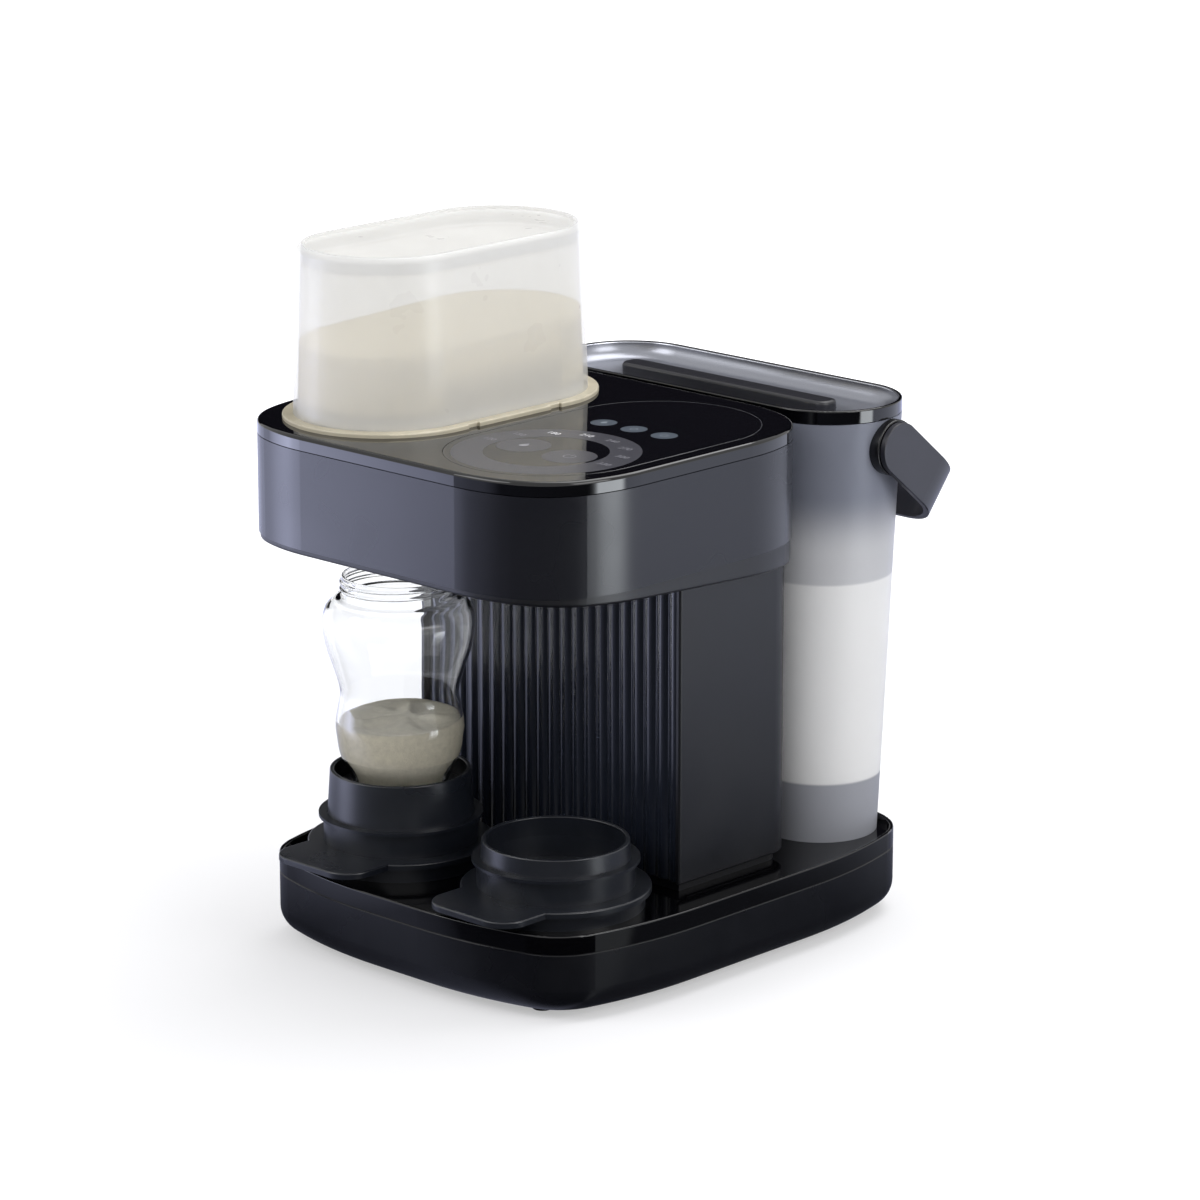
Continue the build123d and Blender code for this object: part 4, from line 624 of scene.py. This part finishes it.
    def add_lamps(self, context, studio):
        lamps = (
            # name, power, width, height, place, what it points at
            ("key_lamp", studio.key_light, 1.3, 1.3, (-0.9, -1.8, 1.5), (0, 0, 0.15)),
            ("top_lamp", studio.top_light, 1.5, 1.5, (0.1, 0.8, 1.9), (0, 0, 0.1)),
            ("side_lamp", studio.side_light, 1.2, 1.2, (1.9, 0.1, 1.1), (0, 0, 0.2)),
        )
        for name, power, width, height, place, target in lamps:
            data = bpy.data.lights.new(name, "AREA")
            data.shape = "RECTANGLE"
            data.size, data.size_y = width, height
            data.energy = power
            lamp = bpy.data.objects.new(name, data)
            lamp.location = place
            aim = Vector(target) - Vector(place)
            lamp.rotation_euler = aim.to_track_quat("-Z", "Y").to_euler()
            lamp.visible_camera = False
            context.scene.collection.objects.link(lamp)

    def light_world(self, context, studio):
        world = bpy.data.worlds.new("studio_world")
        context.scene.world = world
        world.use_nodes = True
        tree = world.node_tree
        strength = add_node(tree, "ShaderNodeMapRange", {"To Min": studio.fill, "To Max": 1.0},
                            {"Value": seen_directly(tree)})
        sky = tree.nodes["Background"]
        sky.inputs["Color"].default_value = linear("#ffffff")
        tree.links.new(strength.outputs["Result"], sky.inputs["Strength"])


class FORMULA_OT_base(bpy.types.Operator):
    """Finishes the base, its feet, its inlet and the tank's dock"""
    bl_idname = "formula.base"
    bl_label = "Base"

    def execute(self, context):
        colours = context.scene.formula_colours
        # polished black ABS: soft reflections, faint handling marks
        finish_nodes(moulded("abs_base_semi_gloss", colours.body, 0.28, level=0.35), "base_pan")
        # polished black ABS tray: mirrors what stands on it
        finish_nodes(piano_black("abs_deck_gloss", colours.gloss, 0.07), "base_deck")
        # moulded rubber: dull and dusty
        finish_nodes(moulded("rubber_feet", linear("#17171a"), 0.85, level=0.3, grain=0.6), "feet")
        # zinc-plated steel, cold headed: a cool grey shine, brushed by the driver
        finish_nodes(metal("zinc_plated_steel", linear("#b9bbbd"), 0.35), "base_screws")
        # glass-filled nylon: dull black, a little grainy
        finish_nodes(moulded("nylon_black_parts", linear("#131316"), 0.5), "power_inlet",
                     "tank_dock")
        # turned brass: warm yellow, bright
        finish_nodes(metal("brass_pins", linear("#c9a55a"), 0.28), "inlet_pins")
        # moulded grey silicone: soft and matt
        finish_nodes(moulded("silicone_seal", linear("#8c8f93"), 0.6, grain=0.5), "dock_seal")
        return {"FINISHED"}


class FORMULA_OT_column(bpy.types.Operator):
    """Finishes the column, its fluted panel and the works inside"""
    bl_idname = "formula.column"
    bl_label = "Column"

    def execute(self, context):
        colours = context.scene.formula_colours
        # spark-eroded black ABS: even satin sheen
        finish_nodes(moulded("abs_column_satin", colours.body, 0.38, level=0.4), "column_shell",
                     "column_plinth")
        # clear-coated fluted insert: glossy ribs that catch long highlights
        finish_nodes(piano_black("abs_fluted_gloss", linear("#1b1f29"), 0.2), "fluted_panel")
        # natural nylon frame: off-white and matt
        finish_nodes(moulded("nylon_white_frame", linear("#c9c8c2"), 0.5), "service_frame")
        # moulded nylon pump body: dark grey
        finish_nodes(moulded("pump_housing", linear("#2a2b2e"), 0.45), "pump")
        # deep-drawn stainless steel: drawing lines and a soft shine
        finish_nodes(metal("stainless_boiler", linear("#b4b3ae"), 0.3), "heater")
        # extruded silicone hose: cloudy, half clear
        finish_nodes(milky("silicone_hose", linear("#e6e4dc"), sheer=0.5, roughness=0.4),
                     "inlet_hose", "link_hose", "hot_hose")
        # glass-epoxy board under green solder mask: low gloss over the weave
        finish_nodes(moulded("circuit_board", linear("#1c4a2e"), 0.4, grain=1.5), "main_board")
        return {"FINISHED"}


class FORMULA_OT_head(bpy.types.Operator):
    """Finishes the head, its painted band, gloss top and glass"""
    bl_idname = "formula.head"
    bl_label = "Head"

    def execute(self, context):
        colours = context.scene.formula_colours
        # spark-eroded black ABS: even satin sheen
        finish_nodes(moulded("abs_head_pan_satin", colours.body, 0.4, level=0.4), "head_pan",
                     "hopper_well")
        # sprayed graphite paint: wide soft highlights with a faint sparkle
        finish_nodes(satin_paint("satin_band_paint", colours.band, metallic=0.05, roughness=0.26),
                     "head_band")
        # polished acrylic cap: a dark mirror
        finish_nodes(piano_black("pmma_top_gloss", colours.gloss), "top_panel")
        # float glass, black on its underside: the sharpest mirror of all
        finish_nodes(piano_black("black_printed_glass", linear("#08080b"), 0.02),
                     "control_glass")
        finish_nodes(moulded("circuit_board_small", linear("#1c4a2e"), 0.4, grain=1.5),
                     "control_board")
        # deep-drawn zinc-plated can: grey, softly bright
        finish_nodes(metal("motor_can", linear("#a9abad"), 0.35), "dosing_motor")
        # natural acetal: cream white with a waxy sheen
        finish_nodes(moulded("acetal_gears", linear("#d9d7cf"), 0.35), "dosing_wheel",
                     "drive_pinion")
        # smooth black nylon: satin
        finish_nodes(moulded("nylon_spouts", linear("#1b1b1f"), 0.35), "powder_chute",
                     "water_nozzle")
        return {"FINISHED"}


class FORMULA_OT_dial(bpy.types.Operator):
    """Prints the dial, its volumes and the touch keys on the glass"""
    bl_idname = "formula.dial"
    bl_label = "Dial and keys"

    def execute(self, context):
        sizes = context.scene.formula_sizes
        colours = context.scene.formula_colours
        low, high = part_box("control_glass")
        reach = (high.x - low.x) / 2
        self.top = high.z + sizes.print_height
        self.sizes = sizes
        centre = Vector(((low.x + high.x) / 2, low.y + reach - sizes.dial_forward))
        rings = screen_print("ink_ring_grey", colours.ring_print)
        keys = screen_print("ink_key_blue_grey", colours.key_print)
        dim = screen_print("ink_figures_grey", colours.figure_print)
        lit = screen_print("ink_figures_white", colours.figure_lit)
        self.ring("dial_ring", centre, sizes.dial_inside, sizes.dial_radius, rings)
        left, right = (centre + Vector(zone) * MM for zone in (ZONE_LEFT, ZONE_RIGHT))
        self.ring("zone_left", left, 0, sizes.zone_radius, rings)
        self.ring("zone_right", right, 0, sizes.zone_radius, rings)
        self.top += sizes.print_height
        # the volumes stand on the dial's far half circle, from left to right
        for place, volume in enumerate(VOLUMES):
            angle = math.pi * (1 - place / (len(VOLUMES) - 1))
            spot = centre + sizes.number_circle * Vector((math.cos(angle), math.sin(angle)))
            self.figure(f"volume_{volume}", str(volume), spot,
                        lit if volume in LIT_VOLUMES else dim)
        self.top += sizes.print_height
        spots = [centre + Vector(key) * MM for key in KEYS]
        for place, spot in enumerate(spots):
            self.ring(f"key_{place + 1}", spot, 0, sizes.key_radius, keys)
        self.top += sizes.print_height
        pale = screen_print("ink_symbols_pale", linear("#8b939c"))
        self.drop("symbol_drop", left, 2.2 * MM, dim)
        self.power("symbol_power", right, 2.8 * MM, dim)
        self.drop("symbol_rinse", spots[0], 1.5 * MM, pale)
        self.ring("symbol_cycle", spots[1], 1.5 * MM, 1.9 * MM, pale)
        self.power("symbol_wake", spots[2], 1.8 * MM, pale)
        self.hair_line()
        return {"FINISHED"}

    def lay(self, name, bm, centre, material):
        """Gives a flat mark its thickness and puts it just above the glass."""
        made = bmesh.ops.extrude_face_region(bm, geom=bm.faces[:])["geom"]
        verts = [v for v in made if isinstance(v, bmesh.types.BMVert)]
        bmesh.ops.translate(bm, verts=verts, vec=(0, 0, -self.sizes.print_height * 0.9))
        bmesh.ops.translate(bm, verts=bm.verts, vec=(centre[0], centre[1], self.top))
        make_piece(name, bm, material, "root", smooth=False)

    def drop(self, name, centre, radius, material):
        """A printed drop: a disc drawn out to a point."""
        bm = bmesh.new()
        bmesh.ops.create_circle(bm, segments=48, radius=radius, cap_ends=True)
        for vert in bm.verts:
            rise = min(1.0, max(0.0, vert.co.y / radius))
            vert.co.x *= (1 - rise) ** 0.3
            vert.co.y *= 1 + 0.7 * rise
        self.lay(name, bm, centre, material)

    def power(self, name, centre, radius, material):
        """The usual standby mark: a ring with 70 degrees open at its top, and a bar."""
        bm = bmesh.new()
        width = radius * 0.2
        opening = 70
        ends = [bm.verts.new((radius + side * width, 0, 0)) for side in (-0.5, 0.5)]
        bmesh.ops.spin(bm, geom=ends + [bm.edges.new(ends)], cent=(0, 0, 0), axis=(0, 0, 1),
                       angle=math.radians(360 - opening), steps=40)
        start = Matrix.Rotation(math.radians(90 + opening / 2), 3, "Z")
        bmesh.ops.rotate(bm, verts=bm.verts, matrix=start)
        bar = bmesh.ops.create_grid(bm, x_segments=1, y_segments=1, size=0.5)["verts"]
        bmesh.ops.scale(bm, verts=bar, vec=(width, radius, 1))
        bmesh.ops.translate(bm, verts=bar, vec=(0, radius * 0.75, 0))
        self.lay(name, bm, centre, material)

    def hair_line(self):
        """The ground edge of the glass, which shows as a pale line round it."""
        bm = merged_copy("control_glass")
        bm.normal_update()
        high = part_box("control_glass")[1].z
        other = [f for f in bm.faces
                 if f.normal.z < 0.99 or f.calc_center_median().z < high - 0.05 * MM]
        bmesh.ops.delete(bm, geom=other, context="FACES")
        bmesh.ops.dissolve_faces(bm, faces=bm.faces[:])
        inner = bm.faces[:]
        bmesh.ops.inset_region(bm, faces=inner, thickness=0.25 * MM, use_boundary=True,
                               use_even_offset=True)
        bmesh.ops.delete(bm, geom=inner, context="FACES")
        bmesh.ops.translate(bm, verts=bm.verts, vec=(0, 0, -high))
        self.top = high + self.sizes.print_height
        ground = screen_print("ground_glass_edge", linear("#4b4c53"), 0.2)
        self.lay("glass_edge_line", bm, (0, 0), ground)

    def ring(self, name, centre, inside, outside, material):
        """A flat printed disc or ring, just above the glass."""
        bm = bmesh.new()
        bmesh.ops.create_circle(bm, segments=128, radius=outside, cap_ends=inside == 0)
        if inside:
            bmesh.ops.create_circle(bm, segments=128, radius=inside)
            bmesh.ops.bridge_loops(bm, edges=bm.edges)
        self.lay(name, bm, centre, material)

    def figure(self, name, text, centre, material):
        """A printed number, upright to someone who stands in front."""
        figure_share = 0.7  # height of the font's figures as a share of its size
        curve = bpy.data.curves.new(name, "FONT")
        curve.body = text
        curve.align_x = "CENTER"
        curve.align_y = "CENTER"
        curve.size = self.sizes.number_height / figure_share
        curve.extrude = self.sizes.print_height * 0.45
        words = bpy.data.objects.new(name, curve)
        bpy.context.scene.collection.objects.link(words)
        bpy.context.view_layer.update()
        graph = bpy.context.evaluated_depsgraph_get()
        bm = bmesh.new()
        mesh = bpy.data.meshes.new_from_object(words.evaluated_get(graph))
        bm.from_mesh(mesh)
        bpy.data.objects.remove(words)
        bpy.data.meshes.remove(mesh)
        bmesh.ops.remove_doubles(bm, verts=bm.verts, dist=0.001 * MM)
        lift = self.top + self.sizes.print_height * 0.6
        bmesh.ops.translate(bm, verts=bm.verts, vec=(centre.x, centre.y, lift))
        make_piece(name, bm, material, "root", smooth=False)


class FORMULA_OT_hopper(bpy.types.Operator):
    """Finishes the powder hopper and heaps its powder"""
    bl_idname = "formula.hopper"
    bl_label = "Powder hopper"

    def execute(self, context):
        colours = context.scene.formula_colours
        # moulded cream ABS: warm, satin
        finish_nodes(moulded("abs_cream_satin", colours.cream, 0.35), "hopper_base", "feed_plate")
        # natural polypropylene: milky, and the powder against it shows through
        finish_nodes(milky("polypropylene_tub", colours.tub, sheer=0.57, roughness=0.3),
                     "hopper_tub", "hopper_lid")
        self.heap(context)
        return {"FINISHED"}

    def heap(self, context):
        """The powder, a hair smaller than the tub and uneven on top."""
        sizes = context.scene.formula_sizes
        bm = settle("powder_fill", sizes.powder_gap, sizes.powder_bumps)
        material = powder_grain("milk_powder", context.scene.formula_colours.powder)
        make_piece("powder_heap", bm, material, "hopper", replaces=("powder_fill",))


class FORMULA_OT_tank(bpy.types.Operator):
    """Finishes the water tank, its lid, its water and its handle"""
    bl_idname = "formula.tank"
    bl_label = "Water tank"

    def execute(self, context):
        colours = context.scene.formula_colours
        sizes = context.scene.formula_sizes
        low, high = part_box("water_fill")
        # moulded SAN, blasted: white where the water stands, darker above and below it
        finish_nodes(smoked_tank("san_tank_frosted", colours.tank, colours.window, low.z, high.z),
                     "tank_shell")
        # moulded black nylon: satin
        finish_nodes(moulded("nylon_valve_parts", linear("#1b1b1f"), 0.4), "valve_body",
                     "tank_valve")
        # polished black ABS rim: mirrors the room as one bright patch at its turn
        finish_nodes(piano_black("abs_lid_rim_gloss", colours.gloss), "tank_lid")
        # silver paint with fine flakes: a satin, metallic dish
        finish_nodes(satin_paint("satin_silver_dish", colours.dish, metallic=0.85, roughness=0.3),
                     "lid_plate")
        self.trim()
        # semi-gloss black ABS: soft reflections
        finish_nodes(piano_black("abs_grip_satin", linear("#1c1c22"), 0.32), "lid_grip")
        # polished black nylon pins
        finish_nodes(moulded("nylon_pivot_black", linear("#0d0d10"), 0.25), "handle_pivots")
        # moulded dark grey ABS: satin, worn a little by the hand
        finish_nodes(moulded("abs_handle_satin", colours.handle, 0.36, level=0.5), "handle")
        bm = shrunk_copy("water_fill", sizes.powder_gap)
        make_piece("still_water", bm, water_body("still_water"), "tank",
                   replaces=("water_fill",), smooth=False)
        return {"FINISHED"}

    def trim(self):
        """A painted highlight: a bright metal bead round the dish's edge, which draws the lid rim's
        highlight as a line round the lid.
        """
        low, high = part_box("lid_plate")
        sides = 8
        thick = 0.5 * MM
        radius = (high.y - low.y) / 2 - thick
        half = (high.x - low.x) / 2 - thick - radius
        centre = (low + high) / 2
        bm = bmesh.new()
        loops = []
        for step in range(sides):
            turn = FULL_TURN * step / sides
            loop = bmesh.ops.create_circle(bm, segments=160,
                                           radius=radius + thick * math.cos(turn))["verts"]
            # the circle's halves move apart, so its ends stay round and its sides straight
            for vert in loop:
                vert.co.x += math.copysign(half, vert.co.x) if abs(vert.co.x) > 1e-7 else 0
            bmesh.ops.translate(bm, verts=loop, vec=(
                centre.x, centre.y, high.z - thick + thick * math.sin(turn)))
            loops.append({e for v in loop for e in v.link_edges})
        for first, second in zip(loops, loops[1:] + loops[:1]):
            bmesh.ops.bridge_loops(bm, edges=list(first | second))
        # painted highlight: a bead lighter than the dish, in place of the highlight on the rim's
        # edge; its own reflections are rendered
        material = metal("bead_painted_highlight", linear("#c9cbd2"), 0.22)
        make_piece("lid_highlight_bead", bm, material, "tank_lid")


class FORMULA_OT_stations(bpy.types.Operator):
    """Finishes the cup stands and their inserts"""
    bl_idname = "formula.stations"
    bl_label = "Cup stations"

    def execute(self, context):
        # blue-grey black polypropylene, satin from a fine-blasted tool
        material = moulded("polypropylene_stand_satin", linear("#161920"), 0.32, level=0.5)
        finish_nodes(material, "stand_left", "stand_right", "riser_left", "riser_right")
        return {"FINISHED"}


class FORMULA_OT_bottle(bpy.types.Operator):
    """Blows the bottle with its neck thread and pours its powder"""
    bl_idname = "formula.bottle"
    bl_label = "Bottle"

    def execute(self, context):
        colours = context.scene.formula_colours
        sizes = context.scene.formula_sizes
        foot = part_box("bottle")[0]
        centre = middle("bottle")
        bm = turned(self.profile(sizes), 144)
        self.cut_thread(bm, sizes)
        bmesh.ops.translate(bm, verts=bm.verts, vec=(centre.x, centre.y, foot.z))
        make_piece("bottle_blown", bm, clear_plastic("copolyester_bottle", linear("#fbfcfd")),
                   "bottle", replaces=("bottle",))
        bm = settle("bottle_powder", -sizes.powder_press, sizes.powder_bumps)
        # painted shade: the bottle's powder takes the darker copy of the powder colour
        make_piece("bottle_heap", bm, powder_grain("milk_powder_painted_shade", colours.portion), "bottle",
                   replaces=("bottle_powder",))
        return {"FINISHED"}

    def profile(self, sizes):
        """Outline of the bottle's wall, from under the foot over the rim to the inside."""
        wall, neck = sizes.bottle_wall / MM, sizes.bottle_neck / MM
        side = []
        for place, (start, end) in enumerate(zip(BOTTLE_SIDE, BOTTLE_SIDE[1:])):
            before = BOTTLE_SIDE[max(place - 1, 0)]
            after = BOTTLE_SIDE[min(place + 2, len(BOTTLE_SIDE) - 1)]
            start, end, before, after = (Vector((*p, 0)) for p in (start, end, before, after))
            side += interpolate_bezier(start, start + (end - before) / 6,
                                       end - (after - start) / 6, end, 6)[:-1]
        side = [(p.x, p.y) for p in side] + [BOTTLE_SIDE[-1]]
        rows = 30
        low, high = BOTTLE_LIP[-1][1] + 0.5, BOTTLE_RIM[0][1] - 0.4
        neck_rows = [(neck, low + (high - low) * row / rows) for row in range(rows + 1)]
        inside = [(neck - wall, high), (neck - wall, low), (neck - wall + 0.3, low - 1.0)]
        inside += [(r - wall, max(z, 3.0)) for r, z in reversed(side) if z > 2.4]
        line = [*BOTTLE_FOOT, *side, *BOTTLE_LIP, *neck_rows, *BOTTLE_RIM, *inside, *BOTTLE_FLOOR]
        return [(r * MM, z * MM) for r, z in line]

    def cut_thread(self, bm, sizes):
        """Raises the thread on the outside of the neck, run out at both ends."""
        run_out = 0.1  # share of a turn over which the thread rises
        for vert in bm.verts:
            radius = vert.co.xy.length
            if abs(radius - sizes.bottle_neck) > 0.05 * MM:
                continue
            angle = math.atan2(vert.co.y, vert.co.x) / FULL_TURN % 1
            for turn in (angle, angle + 1, angle + 2):
                middle_height = THREAD_FOOT * MM + sizes.thread_pitch * turn
                away = abs(vert.co.z - middle_height) / (THREAD_HALF * MM)
                fade = min(1.0, turn / run_out, (THREAD_TURNS - turn) / run_out)
                if away < 1 and fade > 0:
                    grow = 1 + sizes.thread_rise * fade * math.cos(away * math.pi / 2) / radius
                    vert.co.x *= grow
                    vert.co.y *= grow


class FORMULA_PT_panel(bpy.types.Panel):
    """Lists the steps that dress the formula maker"""
    bl_idname = "FORMULA_PT_panel"
    bl_label = "Baby Formula Maker"
    bl_space_type = "VIEW_3D"
    bl_region_type = "UI"
    bl_category = "Formula Maker"

    def draw(self, context):
        for operator in OPERATORS:
            self.layout.operator(operator.bl_idname)
        for group in (context.scene.formula_sizes, context.scene.formula_colours,
                      context.scene.formula_studio):
            box = self.layout.box()
            for name in group.__annotations__:
                box.prop(group, name)


OPERATORS = (
    FORMULA_OT_studio,
    FORMULA_OT_base,
    FORMULA_OT_column,
    FORMULA_OT_head,
    FORMULA_OT_dial,
    FORMULA_OT_hopper,
    FORMULA_OT_tank,
    FORMULA_OT_stations,
    FORMULA_OT_bottle,
)
CLASSES = (FormulaSizes, FormulaColours, FormulaStudio) + OPERATORS + (FORMULA_PT_panel,)


def register():
    for cls in CLASSES:
        bpy.utils.register_class(cls)
    bpy.types.Scene.formula_sizes = PointerProperty(type=FormulaSizes)
    bpy.types.Scene.formula_colours = PointerProperty(type=FormulaColours)
    bpy.types.Scene.formula_studio = PointerProperty(type=FormulaStudio)


def unregister():
    del bpy.types.Scene.formula_studio
    del bpy.types.Scene.formula_colours
    del bpy.types.Scene.formula_sizes
    for cls in reversed(CLASSES):
        bpy.utils.unregister_class(cls)


def main():
    register()
    for operator in OPERATORS:
        group, name = operator.bl_idname.split(".")
        getattr(getattr(bpy.ops, group), name)()


if __name__ == "__main__":
    main()
